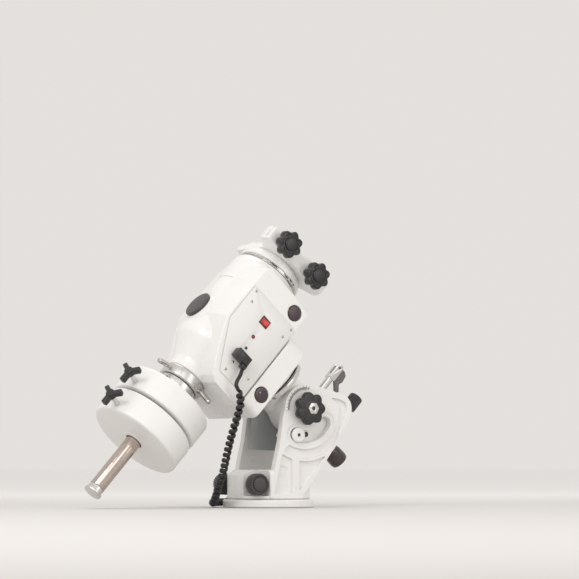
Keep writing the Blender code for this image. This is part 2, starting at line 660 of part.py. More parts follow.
def counterweight_side(axis):
    rod = revolve([(0, SHAFT_END), (SHAFT_RADIUS, SHAFT_END), (SHAFT_RADIUS, -46), (0, -46)], ROUND)
    piece("counterweight_shaft", bright_metal("counterweight_shaft"), axis, HEAD, [rod])
    cap = revolve([(0, -343.5), (13.6, -343.5), (14.6, -342.5), (14.6, -339), (12.5, -338.6),
                   (12.5, SHAFT_END - GAP), (0, SHAFT_END - GAP)], ROUND)
    piece("shaft_end_cap", bright_metal("shaft_end_cap"), axis, HEAD, [cap])
    ring = revolve([(12.8, -118.6), (35.5, -118.6), (37, -117), (37, -103), (36, -101.6), (12.8, -101.6)], LARGE)
    holes = []
    for _, turn in LOCK_PINS:
        holes.append(placed(disc(3.4, 31, 48, segments=SMALL), pin_frame(turn)))
    piece("shaft_lock_ring", bright_metal("shaft_lock_ring"), axis, HEAD, [ring], holes)
    lower = revolve([(12.8, -135), (31.5, -135), (33, -133.5), (33, -120), (32, -119), (12.8, -119)], LARGE)
    piece("shaft_collar", bright_metal("shaft_collar"), axis, HEAD, [lower])
    for name, turn in LOCK_PINS:
        pin = revolve([(0, 33), (2.9, 33), (2.9, 42.6), (4.2, 43.4), (4.2, 66.6), (2.4, 68.6), (0, 68.6)], SMALL)
        piece(f"lock_pin_{name}", bright_metal(f"lock_pin_{name}"), axis, HEAD, [placed(pin, pin_frame(turn))])


def pin_frame(degrees):
    """Along a lock pin: outwards at an angle about the shaft, and leaning down it."""
    lean, turn = math.radians(22), math.radians(degrees)
    direction = (math.cos(turn) * math.cos(lean), math.sin(turn) * math.cos(lean), -math.sin(lean))
    return facing(direction, (0, 0, -95.0))


def weights(axis):
    half = WEIGHT_HEIGHT / 2
    for name, height in WEIGHTS:
        outline = [(13.0, -half), (18, -half), (18, -half + 1), (WEIGHT_RADIUS - 4, -half + 1),
                   (WEIGHT_RADIUS - 1, -half + 2.2), (WEIGHT_RADIUS, -half + 5), (WEIGHT_RADIUS, half - 5),
                   (WEIGHT_RADIUS - 1, half - 2.2), (WEIGHT_RADIUS - 4, half - 1), (18, half - 1),
                   (18, half), (13.0, half)]
        frame = at(HEAD, (0, 0, height))
        turn = math.radians(WEIGHT_KNOB_TURN)
        outward = (-math.cos(turn), -math.sin(turn), 0)
        hole = placed(disc(4.4, 5, 80, segments=SMALL), facing(outward, (0, 0, -WEIGHT_KNOB_DROP)))
        piece(f"weight_{name}", white_paint(f"weight_{name}"), axis, frame, [revolve(outline, LARGE)], [hole])
        turned = at(HEAD, (0, 0, height - WEIGHT_KNOB_DROP)) @ facing(outward)
        screw = disc(4.0, 14.5, 96, segments=SMALL)
        knob = placed(lobed_knob(19, 10, 3, 9, 0.62), Matrix.Translation((0, 0, 93)))
        piece(f"weight_knob_{name}", black_plastic(f"weight_knob_{name}"), axis, turned, [knob, screw])


# --- lead --------------------------------------------------------------------------------

LEAD = ((-102.2, -86, 212.2), (-106.8, -88, 204), (-113.2, -90, 195.7), (-115.8, -91, 190),
        (-114.4, -91, 185.6), (-112.2, -91, 181.6))
COIL = ((-111.9, -91, 181.1), (-109.5, -91, 175), (-107.7, -90.7, 168), (-107.5, -90, 158), (-109.3, -88, 148.7),
        (-110.6, -84, 137), (-113.2, -77, 117.8), (-114.5, -68, 96.6), (-112.7, -55, 73), (-109.6, -42, 54.2),
        (-109, -30, 37.4), (-105.4, -17, 23.1), (-100.5, -3, 13), (-94, 12, 8), (-84, 30, 7.2),
        (-70, 50, 7.2), (-50, 71, 7.2), (-24, 84, 7.2), (6, 87, 7.2))
TAIL = ((6.4, 87, 7.2), (18, 87, 5.8), (30, 86, 4.2), (46, 84, 3.6), (60, 80, 3.6), (74, 76, 4.2))


def smooth_line(route, step):
    """Points evenly spaced along a smooth curve through the route."""
    points = [Vector(p) for p in route]
    points = [points[0] * 2 - points[1], *points, points[-1] * 2 - points[-2]]
    fine = []
    for i in range(1, len(points) - 2):
        a, b, c, d = points[i - 1:i + 3]
        for k in range(24):
            t = k / 24
            fine.append(0.5 * ((2 * b) + (c - a) * t + (2 * a - 5 * b + 4 * c - d) * t * t
                               + (3 * b - a - 3 * c + d) * t ** 3))
    fine.append(points[-2])
    lengths = [0.0]
    for a, b in zip(fine, fine[1:]):
        lengths.append(lengths[-1] + (b - a).length)
    count = max(3, round(lengths[-1] / step))
    found = []
    k = 0
    for i in range(count + 1):
        target = lengths[-1] * i / count
        while k < len(fine) - 2 and lengths[k + 1] < target:
            k += 1
        share = (target - lengths[k]) / max(lengths[k + 1] - lengths[k], 1e-9)
        found.append(fine[k].lerp(fine[k + 1], min(share, 1.0)))
    return found


def tube(name, route, radius, step, axis):
    curve = bpy.data.curves.new(name, "CURVE")
    curve.dimensions = "3D"
    curve.bevel_depth = radius * MM
    curve.bevel_resolution = 2
    curve.use_fill_caps = True
    points = smooth_line(route, step)
    line = curve.splines.new("POLY")
    line.points.add(len(points) - 1)
    for place, point in zip(line.points, points):
        place.co = (*(point * MM), 1.0)
    made = bpy.data.objects.new(name, curve)
    bpy.context.scene.collection.objects.link(made)
    made.data.materials.append(black_plastic(name))
    ride(made, axis)


def lead(axis):
    x, z = PLUG_SEAT
    body = [block((x - 4.5, x + 4.5), (PANEL_Y - 14, PANEL_Y + 4), (z - 3.5, z + 3.5)),
            block((x - 14, x + 14), (PANEL_Y - 17, PANEL_Y - 2), (z - 7.2, z + 7.2)),
            block((x + 6, x + 15.5), (PANEL_Y - 15, PANEL_Y - 5), (z - 14.2, z - 5))]
    piece("handset_plug", black_plastic("handset_plug"), axis, HEAD, body)
    tube("lead_upper", LEAD, CORD_RADIUS, 9, axis)
    tube("lead_coil", COIL, COIL_RADIUS, 18, axis)
    tube("lead_tail", TAIL, CORD_RADIUS, 9, axis)
    frame = Matrix.Translation(Vector((74.3, 76, 4.2)) * MM) @ Matrix.Rotation(math.radians(-16), 4, "Z")
    piece("lead_end_plug", material("lead_end_plug_clear", (0.6, 0.6, 0.58), 0.2, 0.0), axis, frame,
          [block((0, 14), (-5.5, 5.5), (-3.5, 3.5))])


def build():
    clear_scene()
    root = empty("azimuth_axis", WORLD)
    tilt = empty("tilt_axis", Matrix.Translation(Vector(TILT_AXIS) * MM))
    crossing = empty("axes_crossing", HEAD)
    base_plate(root)
    fork(root)
    azimuth_knobs(root)
    latitude_scale(root)
    rear_knob(tilt)
    ra_housing(tilt)
    altitude_pivot(tilt)
    slot_bolt(tilt)
    altitude_quadrant(tilt)
    altitude_bolt(tilt)
    polar_scope(tilt)
    housing_small_parts(tilt)
    ra_drive(tilt, crossing)
    head_casing(crossing)
    control_panel(crossing)
    power_switch(crossing)
    handset_socket(crossing)
    head_small_parts(crossing)
    polar_cap(crossing)
    dec_drive(crossing, crossing)
    dec_flange(crossing)
    saddle(crossing)
    saddle_jaw(crossing)
    counterweight_side(crossing)
    weights(crossing)
    lead(crossing)


build()
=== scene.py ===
import math
import bpy
from mathutils import Matrix, Vector


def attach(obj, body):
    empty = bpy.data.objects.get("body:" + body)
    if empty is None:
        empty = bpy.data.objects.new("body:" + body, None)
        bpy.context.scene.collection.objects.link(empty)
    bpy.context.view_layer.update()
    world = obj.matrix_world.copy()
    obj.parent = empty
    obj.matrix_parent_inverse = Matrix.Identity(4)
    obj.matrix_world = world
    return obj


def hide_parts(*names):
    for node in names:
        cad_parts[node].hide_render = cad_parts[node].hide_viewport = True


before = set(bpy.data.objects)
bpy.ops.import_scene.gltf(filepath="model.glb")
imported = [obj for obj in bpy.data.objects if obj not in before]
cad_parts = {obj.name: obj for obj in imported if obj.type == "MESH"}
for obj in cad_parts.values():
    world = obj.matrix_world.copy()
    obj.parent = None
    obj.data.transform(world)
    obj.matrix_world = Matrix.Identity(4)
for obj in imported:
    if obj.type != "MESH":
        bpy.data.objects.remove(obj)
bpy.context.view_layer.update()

MM = 0.001
FINE = 96
LATITUDE = 42.6
CROSSING = (-85.5, 0.0, 276.0)
TILT_AXIS = (31.6, 0.0, 154.8)
CENTRE = (TILT_AXIS[0], TILT_AXIS[2])
BASE_HEIGHT = 12.6
FORK_RADIUS = 66.0
FORK_TOP = 59.0
PEG_X = -51.0
KNOB_Z = 36.0
ARM_OUTER = 60.0
ARM_INNER = 48.0
SLOT_RADIUS = 44.0
SLOT_HALF = 10.2
SLOT_ENDS = (-112.5, -30.0)
SLOT_BOLT_ANGLE = -109.5
SPARE_HOLE = (41.4, -76.7)
PANEL_Y = -75.0
PANEL = [(-36.0, 60.5), (65.0, 60.5), (65.0, -81.0), (6.5, -81.5), (-36.0, -8.0)]
PANEL_SCREWS = ((-29, 55.5), (-24.1, 37.7), (57.9, 55.5), (54.2, 36.7), (14.7, -55.3), (12.6, -72.5),
                (52.8, -55.8))
CASING_RIGHT = 66
FLANKS = ((-100, 14, 12, 30), (-94, 3, 2, 32), (-77, -9, -11, 36), (-53, -22, -24, 46),
          (-9, -42, -55.7, 12.1), (96, -39, -55.1, 14.7), (104, -30, -52.4, 22.4))
LOCK_PINS = (("north", -163.0), ("south", -54.0))
SWITCH = (15.2, 30.2)
PLUG_SEAT = (17.5, -43.0)
RA_WORM = (86.0, -61.0)
RA_PLUG = (87.5, -56.7)
CLUTCH_EDGE = ((130, 57), (137, 60), (150, 65), (166, 69), (178, 71), (190, 71), (202, 68),
               (212, 64), (217, 58))
DEC_WORM = (45.5, 79.6)
REAR_KNOB_X = 255.0
ALTITUDE_BOLT_X = 197.0
WEIGHTS = (("upper", -166.0), ("lower", -213.0))
WEIGHT_KNOB_TURN = 21.0
WEIGHT_KNOB_DROP = 11.0
PIN_LEAN = 22.0
PIN_HEIGHT = -95.0
SADDLE_HOLES = (-37.0, 33.0)
SADDLE_HOLE_HEIGHT = 150.0

WORLD = Matrix.Identity(4)
HEAD = Matrix.Translation(Vector(CROSSING) * MM) @ Matrix.Rotation(math.radians(LATITUDE), 4, "Y")


# --- camera and light -------------------------------------------------------------------


def look_from(azimuth, elevation, target, distance, lens):
    """Aims the scene's camera at the target from an azimuth and an elevation in degrees."""
    a, e = math.radians(azimuth), math.radians(elevation)
    back = Vector((math.sin(a) * math.cos(e), -math.cos(a) * math.cos(e), math.sin(e)))
    camera = bpy.data.objects.new("camera", bpy.data.cameras.new("camera"))
    bpy.context.scene.collection.objects.link(camera)
    camera.data.sensor_width = 36
    camera.data.lens = lens
    camera.location = Vector(target) + back * distance
    camera.rotation_mode = "QUATERNION"
    camera.rotation_quaternion = (-back).to_track_quat("-Z", "Y")
    bpy.context.scene.camera = camera


def area_light(name, place, target, size, power, colour):
    light = bpy.data.objects.new(name, bpy.data.lights.new(name, "AREA"))
    bpy.context.scene.collection.objects.link(light)
    light.data.shape = "DISK"
    light.data.size = size
    light.data.energy = power
    light.data.color = colour
    light.location = place
    light.rotation_mode = "QUATERNION"
    light.rotation_quaternion = (Vector(target) - Vector(place)).to_track_quat("-Z", "Y")


look_from(-32.71, -3.5, (0.0171, -0.0360, 0.3437), 4.608, 180.9)
area_light("window", (-2.3, -1.2, 2.0), (-0.05, 0, 0.2), 1.1, 24, (1.0, 0.99, 0.98))
area_light("left_fill", (-1.4, -2.4, 1.5), (-0.05, 0, 0.2), 1.6, 8, (1.0, 0.99, 0.98))
area_light("front_fill", (0.9, -2.6, 1.0), (0, 0, 0.2), 1.6, 8, (1.0, 0.965, 0.92))
area_light("top", (0.3, 0.5, 2.4), (0, 0, 0.2), 1.4, 9, (0.98, 0.99, 1.0))
bpy.context.scene.view_settings.view_transform = "Standard"
world = bpy.data.worlds.new("studio")
bpy.context.scene.world = world
world.use_nodes = True
world.node_tree.nodes["Background"].inputs["Color"].default_value = (0.775, 0.75, 0.725, 1)
world.node_tree.nodes["Background"].inputs["Strength"].default_value = 1.0


# --- surfaces ---------------------------------------------------------------------------


def surface(name, colour, roughness, metallic=0.0, vary=0.03, grain=700.0, depth=0.03, coat=0.0,
            turned=False, grime_and_shade=0.0, wear=0.0, spread=0.06):
    """A finish with fine colour and gloss variation, a small bump, worn edges, and hollows darkened partly by dirt
    and partly by painted shade.
    """
    made = bpy.data.materials.new(name)
    made.use_nodes = True
    tree = made.node_tree
    shader = tree.nodes["Principled BSDF"]
    shader.inputs["Metallic"].default_value = metallic
    shader.inputs["Coat Weight"].default_value = coat
    shader.inputs["Coat Roughness"].default_value = 0.12

    def node(kind, **values):
        one = tree.nodes.new(kind)
        for key, value in values.items():
            setattr(one, key, value)
        return one

    def noise(scale, detail, source):
        one = node("ShaderNodeTexNoise")
        one.inputs["Scale"].default_value = scale
        one.inputs["Detail"].default_value = detail
        tree.links.new(source, one.inputs["Vector"])
        return one.outputs["Fac"]

    def ranged(value, low, high, start=0.3, end=0.7):
        one = node("ShaderNodeMapRange")
        for key, number in (("From Min", start), ("From Max", end), ("To Min", low), ("To Max", high)):
            one.inputs[key].default_value = number
        tree.links.new(value, one.inputs["Value"])
        return one.outputs["Result"]

    def mixed(factor, first, second, blend="MIX"):
        one = node("ShaderNodeMix", data_type="RGBA", blend_type=blend)
        tree.links.new(factor, one.inputs["Factor"])
        for socket, value in ((one.inputs[6], first), (one.inputs[7], second)):
            if isinstance(value, tuple):
                socket.default_value = (*value, 1.0)
            else:
                tree.links.new(value, socket)
        return one.outputs[2]

    place = node("ShaderNodeTexCoord").outputs["Object"]
    if turned:
        parts = node("ShaderNodeSeparateXYZ")
        tree.links.new(place, parts.inputs["Vector"])
        flat = node("ShaderNodeCombineXYZ")
        tree.links.new(parts.outputs["X"], flat.inputs["X"])
        tree.links.new(parts.outputs["Y"], flat.inputs["Y"])
        length = node("ShaderNodeVectorMath", operation="LENGTH")
        tree.links.new(flat.outputs["Vector"], length.inputs["Vector"])
        rings = node("ShaderNodeCombineXYZ")
        tree.links.new(length.outputs["Value"], rings.inputs["X"])
        tree.links.new(parts.outputs["Z"], rings.inputs["Y"])
        fine = noise(grain * 2.0, 3.0, rings.outputs["Vector"])
    else:
        fine = noise(grain, 3.0, place)
    broad = noise(22.0, 4.0, place)
    dark = tuple(c * (1 - vary) for c in colour)
    light = tuple(min(1.0, c * (1 + vary)) for c in colour)
    shade = mixed(ranged(broad, 0.0, 1.0), dark, light)
    if turned:
        shade = mixed(ranged(fine, 0.0, 0.5), shade, tuple(c * 0.72 for c in colour))
    edge = node("ShaderNodeNewGeometry").outputs["Pointiness"]
    # Darkens hollows and creases towards a warm grey: partly dirt, partly painted shade where shade falls.
    if grime_and_shade > 0:
        tone = tuple(c * t for c, t in zip(colour, (0.62, 0.56, 0.48)))
        shade = mixed(ranged(edge, grime_and_shade, 0.0, 0.44, 0.495), shade, tone)
    if wear > 0:
        bright = tuple(min(1.0, c * 1.5 + 0.08) for c in colour)
        shade = mixed(ranged(edge, 0.0, wear, 0.52, 0.6), shade, bright)
    tree.links.new(shade, shader.inputs["Base Color"])
    tree.links.new(ranged(broad, max(0.02, roughness - spread), roughness + spread), shader.inputs["Roughness"])
    bump = node("ShaderNodeBump")
    bump.inputs["Strength"].default_value = depth
    bump.inputs["Distance"].default_value = 0.001
    tree.links.new(fine, bump.inputs["Height"])
    tree.links.new(bump.outputs["Normal"], shader.inputs["Normal"])
    return made


# The white paints darken in their hollows, partly dirt and partly painted shade.
PAINT = surface("white_paint", (0.845, 0.84, 0.83), 0.3, coat=0.25, vary=0.012, grain=500.0,
                depth=0.02, grime_and_shade=0.35)
PANEL_PAINT = surface("panel_paint", (0.80, 0.80, 0.79), 0.34, coat=0.2, vary=0.01, grain=900.0,
                      depth=0.03)
WEIGHT_PAINT = surface("weight_paint", (0.84, 0.835, 0.825), 0.42, coat=0.12, vary=0.015, grain=350.0,
                       depth=0.06, grime_and_shade=0.25)
BLACK = surface("black_plastic", (0.022, 0.020, 0.022), 0.27, vary=0.12, grain=1500.0, depth=0.08, wear=0.12)
DARK = surface("dark_grey_plastic", (0.055, 0.052, 0.054), 0.4, vary=0.08, grain=1300.0, depth=0.1, wear=0.1)
RUBBER = surface("cord_rubber", (0.018, 0.017, 0.018), 0.34, vary=0.15, grain=1800.0, depth=0.06)
SILVER = surface("turned_aluminium", (0.74, 0.73, 0.71), 0.27, metallic=1.0, vary=0.04, grain=1400.0, depth=0.12,
                 turned=True)
STEEL = surface("steel", (0.56, 0.54, 0.52), 0.2, metallic=1.0, vary=0.06, grain=1600.0, depth=0.05, wear=0.2)
CHROME = surface("polished_steel", (0.62, 0.53, 0.48), 0.13, metallic=1.0, vary=0.015, grain=900.0, depth=0.004,
                 turned=True, spread=0.03)
BRASS = surface("brass", (0.70, 0.52, 0.26), 0.3, metallic=1.0, vary=0.06, grain=1400.0, depth=0.08)
RED = surface("red_plastic", (0.62, 0.03, 0.025), 0.22, vary=0.06, grain=1200.0, depth=0.03, coat=0.3)
INK = surface("dark_marking", (0.06, 0.055, 0.05), 0.55, vary=0.1, grain=2000.0, depth=0.02)
GREEN = surface("board_resin", (0.03, 0.17, 0.07), 0.45, vary=0.1, grain=900.0, depth=0.05)
PLUM = surface("cover_plastic", (0.050, 0.030, 0.036), 0.22, vary=0.08, grain=1200.0, depth=0.04, coat=0.3)
# Flat grey that stands for the shaded inner wall between the fork arms: painted shade.
SHADED_WALL_GREY = surface("painted_shade_grey", (0.27, 0.285, 0.285), 0.4, vary=0.06, grain=1000.0, depth=0.05)
HANDLE = surface("grey_handle", (0.15, 0.14, 0.14), 0.36, vary=0.06, grain=1000.0, depth=0.05)
CLEAR = surface("clear_plug", (0.55, 0.55, 0.53), 0.15, vary=0.05, grain=900.0, depth=0.02, coat=0.4)


# --- shapes, in millimetres -------------------------------------------------------------


def revolve(profile, segments=FINE):
    """A closed outline of (radius, height) points turned about z."""
    points, rings = [], []
    for radius, height in profile:
        if radius < 1e-6:
            rings.append([len(points)] * segments)
            points.append((0.0, 0.0, height))
            continue
        rings.append(list(range(len(points), len(points) + segments)))
        for i in range(segments):
            turn = 2 * math.pi * i / segments
            points.append((radius * math.cos(turn), radius * math.sin(turn), height))
    faces = []
    for lower, upper in zip(rings, rings[1:] + rings[:1]):
        for i in range(segments):
            j = (i + 1) % segments
            face = []
            for index in (lower[i], lower[j], upper[j], upper[i]):
                if index not in face:
                    face.append(index)
            if len(face) > 2:
                faces.append(face)
    return points, faces


def rounded(outline, radius, steps=4, closed=True):
    """The outline with its corners eased by short curves."""
    made = []
    count = len(outline)
    for i, here in enumerate(outline):
        before, after = outline[i - 1], outline[(i + 1) % count]
        if not closed and i in (0, count - 1):
            made.append(here)
            continue
        here, before, after = Vector(here), Vector(before), Vector(after)
        start = here + (before - here) * min(0.48, radius / max((before - here).length, 1e-6))
        end = here + (after - here) * min(0.48, radius / max((after - here).length, 1e-6))
        for k in range(steps + 1):
            t = k / steps
            made.append(tuple(start * (1 - t) ** 2 + here * 2 * t * (1 - t) + end * t * t))
    return made


def lathe(profile, edge=0.8, segments=FINE):
    """A turned solid whose outline's corners are eased; points on the axis stay sharp."""
    eased = []
    count = len(profile)
    for i, point in enumerate(profile):
        if point[0] < 1e-6:
            eased.append(point)
            continue
        eased += rounded([profile[i - 1], point, profile[(i + 1) % count]], edge, 3, closed=False)[1:-1]
    return revolve(eased, segments)


def disc(radius, low, high, edge=0.0, bore=0.0, segments=FINE):
    if edge > 0:
        return lathe([(bore, low), (radius, low), (radius, high), (bore, high)], edge, segments)
    return revolve([(bore, low), (radius, low), (radius, high), (bore, high)], segments)


def prism(outline, low, high):
    count = len(outline)
    area = sum(a[0] * b[1] - b[0] * a[1] for a, b in zip(outline, outline[1:] + outline[:1]))
    if area < 0:
        outline = outline[::-1]
    points = [(x, y, low) for x, y in outline] + [(x, y, high) for x, y in outline]
    faces = [list(range(count))[::-1], list(range(count, 2 * count))]
    for i in range(count):
        j = (i + 1) % count
        faces.append([i, j, count + j, count + i])
    return points, faces


def loft(sections):
    """A closed solid through rings that all have the same number of points."""
    count = len(sections[0])
    points = [point for ring in sections for point in ring]
    last = len(points) - count
    faces = [list(range(count))[::-1], list(range(last, last + count))]
    for level in range(len(sections) - 1):
        start = level * count
        for i in range(count):
            j = (i + 1) % count
            faces.append([start + i, start + j, start + count + j, start + count + i])
    return points, faces


def block(x, y, z):
    return prism([(x[0], y[0]), (x[1], y[0]), (x[1], y[1]), (x[0], y[1])], z[0], z[1])


def placed(shape, matrix):
    points, faces = shape
    return [tuple(matrix @ Vector(point)) for point in points], faces


def shifted(shape, x=0.0, y=0.0, z=0.0):
    return placed(shape, Matrix.Translation((x, y, z)))


def facing(direction, at=(0, 0, 0)):
    return Matrix.Translation(Vector(at)) @ Vector(direction).to_track_quat("Z", "Y").to_matrix().to_4x4()


def along_y(shape, at=(0, 0, 0)):
    """The shape with its z axis turned to -y."""
    turn = Matrix(((1, 0, 0, 0), (0, 0, -1, 0), (0, 1, 0, 0), (0, 0, 0, 1)))
    return placed(shape, Matrix.Translation(Vector(at)) @ turn)


def side_plate(outline, low, high):
    """A plate drawn in x and z, from y = low to y = high."""
    return along_y(prism(list(outline), -high, -low))


def along_x(shape, at=(0, 0, 0)):
    return placed(shape, facing((1, 0, 0), at))


def bar(section, low, high):
    """A bar along x, from x = low to x = high, its section drawn in y and z."""
    return placed(prism(section, low, high), Matrix(((0, 0, 1, 0), (1, 0, 0, 0), (0, 1, 0, 0), (0, 0, 0, 1))))


def on_circle(centre, radius, degrees):
    angle = math.radians(degrees)
    return centre[0] + radius * math.cos(angle), centre[1] + radius * math.sin(angle)


def arc(centre, radius, start, end, steps=24):
    return [on_circle(centre, radius, start + (end - start) * i / steps) for i in range(steps + 1)]


def hexagonal(reach):
    return [(reach * math.cos(math.pi * k / 3), reach * math.sin(math.pi * k / 3)) for k in range(6)]


def curved_slot(centre, radius, half, start, end):
    first = on_circle(centre, radius, start)
    last = on_circle(centre, radius, end)
    outline = arc(centre, radius + half, start, end, 30)
    outline += arc(last, half, end, end + 180, 14)[1:]
    outline += arc(centre, radius - half, end, start, 26)[1:]
    outline += arc(first, half, start + 180, start + 360, 14)[1:-1]
    return outline


def knob(reach, depth, count, edge=2.2, face=()):
    """A knob about z: reach(angle) is its outline, face is (share of the reach, height) steps to the middle."""
    levels = [(1 - edge / 25, 0.0), (1 - edge / 70, edge * 0.35), (1.0, edge), (1.0, depth - edge),
              (1 - edge / 70, depth - edge * 0.35), (1 - edge / 25, depth)]
    levels += [(share, depth + height) for share, height in face]
    sections = []
    for share, height in levels:
        ring = []
        for i in range(count):
            angle = 2 * math.pi * i / count
            here = reach(angle) if share > 0.75 else reach(0) * 0.95
            ring.append((here * share * math.cos(angle), here * share * math.sin(angle), height))
        sections.append(ring)
    return loft(sections)


def star(radius, depth, lobes, dish=0.16, face=()):
    """A star knob: round lobes with wide hollows between them."""
    def reach(angle):
        wave = abs(math.cos(lobes * angle / 2))
        return radius * (1 - dish + dish * wave ** 1.3)
    return knob(reach, depth, lobes * 24, face=face)


def knurled(radius, depth, ridges, height=0.6, face=()):
    def reach(angle):
        return radius - height * (1 - abs(math.cos(ridges * angle / 2)))
    return knob(reach, depth, ridges * 6, edge=1.2, face=face)


# --- pieces -----------------------------------------------------------------------------


def mesh_object(name, shapes, matrix):
    points, faces = [], []
    for shape in shapes:
        start = len(points)
        points += [tuple(v * MM for v in point) for point in shape[0]]
        faces += [[start + index for index in face] for face in shape[1]]
    mesh = bpy.data.meshes.new(name)
    mesh.from_pydata(points, [], faces)
    mesh.update()
    made = bpy.data.objects.new(name, mesh)
    bpy.context.scene.collection.objects.link(made)
    made.matrix_world = matrix
    return made


def settle(made):
    """Applies the modifiers to the mesh."""
    bpy.context.view_layer.update()
    graph = bpy.context.evaluated_depsgraph_get()
    mesh = bpy.data.meshes.new_from_object(made.evaluated_get(graph))
    made.modifiers.clear()
    made.data = mesh


def make(name, body, at, adds, finish, nodes=(), cuts=(), bevel=0.0, voxel=0.0, smooth=0, sharp=38):
    """A piece that rides on a body and stands for some CAD nodes: shapes joined, cut, then eased."""
    solid = voxel > 0 or len(cuts) > 0
    made = mesh_object(name, adds[:1] if solid else adds, at)
    tools = []
    if solid:
        for operation, shapes in (("UNION", adds[1:]), ("DIFFERENCE", cuts)):
            for shape in shapes:
                tool = mesh_object("tool", [shape], at)
                tool.hide_render = True
                change = made.modifiers.new("cut", "BOOLEAN")
                change.operation = operation
                change.solver = "MANIFOLD"
                change.object = tool
                tools.append(tool)
    if voxel > 0:
        change = made.modifiers.new("skin", "REMESH")
        change.mode = "VOXEL"
        change.voxel_size = voxel * MM
        change.use_smooth_shade = True
        if smooth:
            change = made.modifiers.new("ease", "SMOOTH")
            change.factor = 0.5
            change.iterations = smooth
    elif bevel > 0:
        change = made.modifiers.new("edges", "BEVEL")
        change.width = bevel * MM
        change.segments = 2
        change.limit_method = "ANGLE"
        change.angle_limit = math.radians(sharp)
    settle(made)
    for tool in tools:
        bpy.data.objects.remove(tool)
    mesh = made.data
    mesh.polygons.foreach_set("use_smooth", [True] * len(mesh.polygons))
    if voxel == 0:
        mesh.set_sharp_from_angle(angle=math.radians(sharp))
    mesh.materials.clear()
    mesh.materials.append(finish)
    if nodes:
        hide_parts(*nodes)
    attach(made, body)
    return made


def at(place, point):
    """A frame moved to a point given in millimetres in that frame."""
    return place @ Matrix.Translation(Vector(point) * MM)


# --- lead -------------------------------------------------------------------------------

LEAD = ((-102.2, -86, 212.2), (-106.8, -88, 204), (-113.2, -90, 195.7), (-115.8, -91, 190),
        (-114.4, -91, 185.6), (-112.2, -91, 181.6))
COIL = ((-111.9, -91, 181.1), (-109.5, -91, 175), (-107.7, -90.7, 168), (-107.5, -90, 158), (-109.3, -88, 148.7),
        (-110.6, -84, 137), (-113.2, -77, 117.8), (-114.5, -68, 96.6), (-112.7, -55, 73), (-109.6, -42, 54.2),
        (-109, -30, 37.4), (-105.4, -17, 23.1), (-100.5, -3, 13), (-94, 12, 8), (-84, 30, 7.2),
        (-70, 50, 7.2), (-50, 71, 7.2), (-24, 84, 7.2), (6, 87, 7.2))
TAIL = ((6.4, 87, 7.2), (18, 87, 5.8), (30, 86, 4.2), (46, 84, 3.6), (60, 80, 3.6), (74, 76, 4.2))
WIRE = 3.1
COIL_REACH = 4.3
COIL_PITCH = 9.8


def smooth_line(route, step):
    """Points evenly spaced along a smooth curve through the route."""
    points = [Vector(p) for p in route]
    points = [points[0] * 2 - points[1], *points, points[-1] * 2 - points[-2]]
    fine = []
    for i in range(1, len(points) - 2):
        a, b, c, d = points[i - 1:i + 3]
        for k in range(24):
            t = k / 24
            fine.append(0.5 * ((2 * b) + (c - a) * t + (2 * a - 5 * b + 4 * c - d) * t * t
                               + (3 * b - a - 3 * c + d) * t ** 3))
    fine.append(points[-2])
    lengths = [0.0]
    for a, b in zip(fine, fine[1:]):
        lengths.append(lengths[-1] + (b - a).length)
    count = max(3, round(lengths[-1] / step))
    found = []
    k = 0
    for i in range(count + 1):
        target = lengths[-1] * i / count
        while k < len(fine) - 2 and lengths[k + 1] < target:
            k += 1
        share = (target - lengths[k]) / max(lengths[k + 1] - lengths[k], 1e-9)
        found.append(fine[k].lerp(fine[k + 1], min(share, 1.0)))
    return found


def framed(line):
    """Each point with two side directions that don't twist along the line."""
    side = None
    found = []
    for i, point in enumerate(line):
        ahead = (line[min(i + 1, len(line) - 1)] - line[max(i - 1, 0)]).normalized()
        if side is None:
            side = ahead.cross(Vector((0.2, 1.0, 0.1))).normalized()
        side = (side - ahead * side.dot(ahead)).normalized()
        found.append((point, side, ahead.cross(side)))
    return found


def tube(line, radius, sides=12):
    """A round strand along a line of points."""
    sections = []
    for point, side, other in framed(line):
        sections.append([point + (side * math.cos(2 * math.pi * k / sides)
                                  + other * math.sin(2 * math.pi * k / sides)) * radius for k in range(sides)])
    return loft([[tuple(point) for point in section] for section in sections])


def winding(line, sides=12):
    """The curly part: an oval strand wound round a line, rounder and nearer the line at both ends."""
    path, sections = [], []
    count = len(line)
    for i, (point, side, other) in enumerate(line):
        angle = 2 * math.pi * i * 0.5 / COIL_PITCH - 2.4
        ease = min(1.0, i / 12, (count - 1 - i) / 12)
        outward = side * math.cos(angle) + other * math.sin(angle)
        ahead = side.cross(other)
        centre = point + outward * COIL_REACH * ease
        path.append(centre)
        if i % 2 == 0 or i == count - 1:
            high, deep = WIRE + 0.75 * ease, WIRE - 0.8 * ease
            sections.append([tuple(centre + ahead * high * math.cos(2 * math.pi * k / sides)
                                   + outward * deep * math.sin(2 * math.pi * k / sides)) for k in range(sides)])
    return path, loft(sections)


def lead():
    """One cord: a straight run, the curly part wound round its own centreline, and the tail."""
    upper = smooth_line(LEAD, 2.0)
    coil = framed(smooth_line(COIL, 0.5))
    tail = smooth_line(TAIL, 2.5)
    wound, curly = winding(coil)
    line = [*upper, *wound[1:-1:2], *tail]
    made = mesh_object("lead", [tube(upper, WIRE), curly, tube(tail, WIRE)], WORLD)
    mesh = made.data
    mesh.polygons.foreach_set("use_smooth", [True] * len(mesh.polygons))
    mesh.materials.append(RUBBER)
    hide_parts("lead_upper", "lead_coil", "lead_tail")
    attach(made, "head")
    path = [tuple(p * MM) for p in line]
    length = sum((Vector(b) - Vector(a)).length for a, b in zip(path, path[1:]))
    return made, path, length


